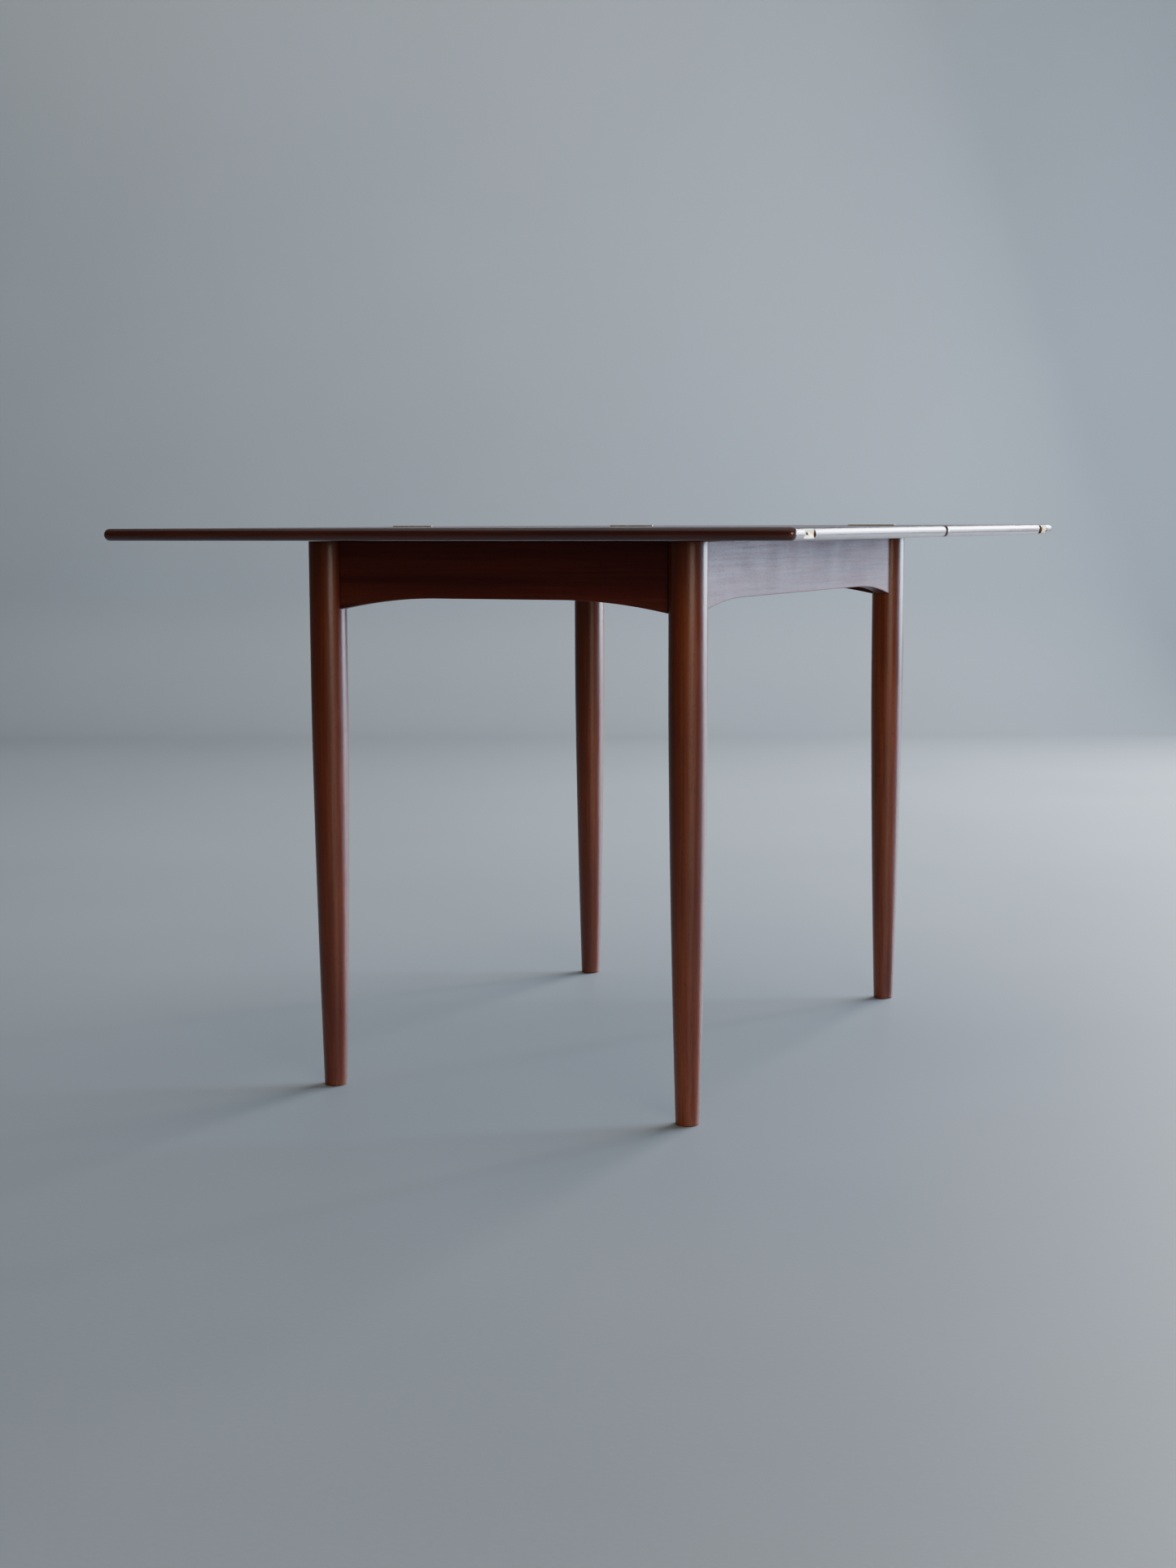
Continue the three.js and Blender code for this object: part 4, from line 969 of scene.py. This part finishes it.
curl = np.linspace(0, pi / 2, 17)
deep = np.concatenate([[-FLOOR_HALF], BACKDROP_AT - COVE_RADIUS * (1 - np.sin(curl)), [BACKDROP_AT]])
high = np.concatenate([[0], COVE_RADIUS * (1 - np.cos(curl)), [BACKDROP_HEIGHT]])
across = np.array([[-FLOOR_HALF], [FLOOR_HALF]])
floor = closed_surface("floor", [np.stack([across * cos(CAMERA_YAW) - deep * sin(CAMERA_YAW),
                                           across * sin(CAMERA_YAW) + deep * cos(CAMERA_YAW),
                                           high + 0 * across], -1)])
floor.data.materials.append(floor_finish())

# ---- Lights -------------------------------------------------------------------------------------
# A large cool window light at the back right with a paler one beyond it, a wash on the backdrop, dim
# warm fill from the front right and a faint one overhead. The sky is dim, and the camera alone sees
# a paler one.


def soft_light(name, at, target, width, height, power, colour):
    """A rectangular area light turned to face a point."""
    data = bpy.data.lights.new(name, "AREA")
    data.shape, data.size, data.size_y = "RECTANGLE", width, height
    data.energy, data.color = power, colour
    light = bpy.data.objects.new(name, data)
    bpy.context.scene.collection.objects.link(light)
    light.location = at
    light.visible_camera = False
    light.rotation_euler = (Vector(target) - Vector(at)).to_track_quat("-Z", "Y").to_euler()
    return light


soft_light("window", (3.45, 3.5, 1.25), (0.2, 0.0, 0.7), 2.9, 1.5, 470, (0.62, 0.75, 1.0))
soft_light("window_head", (1.55, 4.5, 1.85), (0.3, 0.0, 0.72), 2.3, 0.9, 260, (0.86, 0.90, 1.0))
soft_light("backdrop_wash", (-1.2, 1.6, 3.9), (-2.3, 4.9, 1.1), 5.0, 0.8, 60, (1.0, 0.96, 0.90))
soft_light("room_fill", (3.4, -3.6, 1.5), (0.2, 0, 0.3), 2.2, 1.6, 75, (1.0, 0.86, 0.70))
soft_light("ceiling", (0.2, -0.2, 3.6), (0, 0, 0), 4.5, 4.5, 34, (0.95, 0.97, 1.0))

world = bpy.data.worlds.new("studio")
world.use_nodes = True
nodes = world.node_tree.nodes
dim, pale = nodes["Background"], nodes.new("ShaderNodeBackground")
for sky, brightness, tint in ((dim, 0.10, (0.68, 0.61, 0.52)), (pale, 0.4, (0.62, 0.64, 0.66))):
    sky.inputs["Color"].default_value = (*tint, 1)
    sky.inputs["Strength"].default_value = brightness
backdrop, rays = nodes.new("ShaderNodeMixShader"), nodes.new("ShaderNodeLightPath")
for start, end in ((rays.outputs["Is Camera Ray"], backdrop.inputs[0]),
                   (dim.outputs[0], backdrop.inputs[1]), (pale.outputs[0], backdrop.inputs[2]),
                   (backdrop.outputs[0], nodes["World Output"].inputs["Surface"])):
    world.node_tree.links.new(start, end)
bpy.context.scene.world = world

# ---- Camera -------------------------------------------------------------------------------------
# It stands in front and to the right at about the height of the top, turned left to face the table,
# looks a little down, and is very slightly tilted.

CAMERA_PLACE = Vector((1.2488, -2.8893, 0.7289))
CAMERA_PITCH, CAMERA_ROLL = radians(6.6328), radians(-0.2092)
CAMERA_LENS = 51.70
SENSOR = 36.0  # along the picture's long side
data = bpy.data.cameras.new("camera")
data.lens, data.sensor_width, data.clip_start = CAMERA_LENS, SENSOR, 0.05
camera = bpy.data.objects.new("camera", data)
bpy.context.scene.collection.objects.link(camera)
ahead = Vector((-sin(CAMERA_YAW) * cos(CAMERA_PITCH), cos(CAMERA_YAW) * cos(CAMERA_PITCH),
                -sin(CAMERA_PITCH)))
right = Vector((cos(CAMERA_YAW), sin(CAMERA_YAW), 0))
up = right.cross(ahead)
level_right = cos(CAMERA_ROLL) * right + sin(CAMERA_ROLL) * up
level_up = -sin(CAMERA_ROLL) * right + cos(CAMERA_ROLL) * up
turn = Matrix((level_right, level_up, -ahead)).transposed()
camera.matrix_world = Matrix.Translation(CAMERA_PLACE) @ turn.to_4x4()
bpy.context.scene.camera = camera
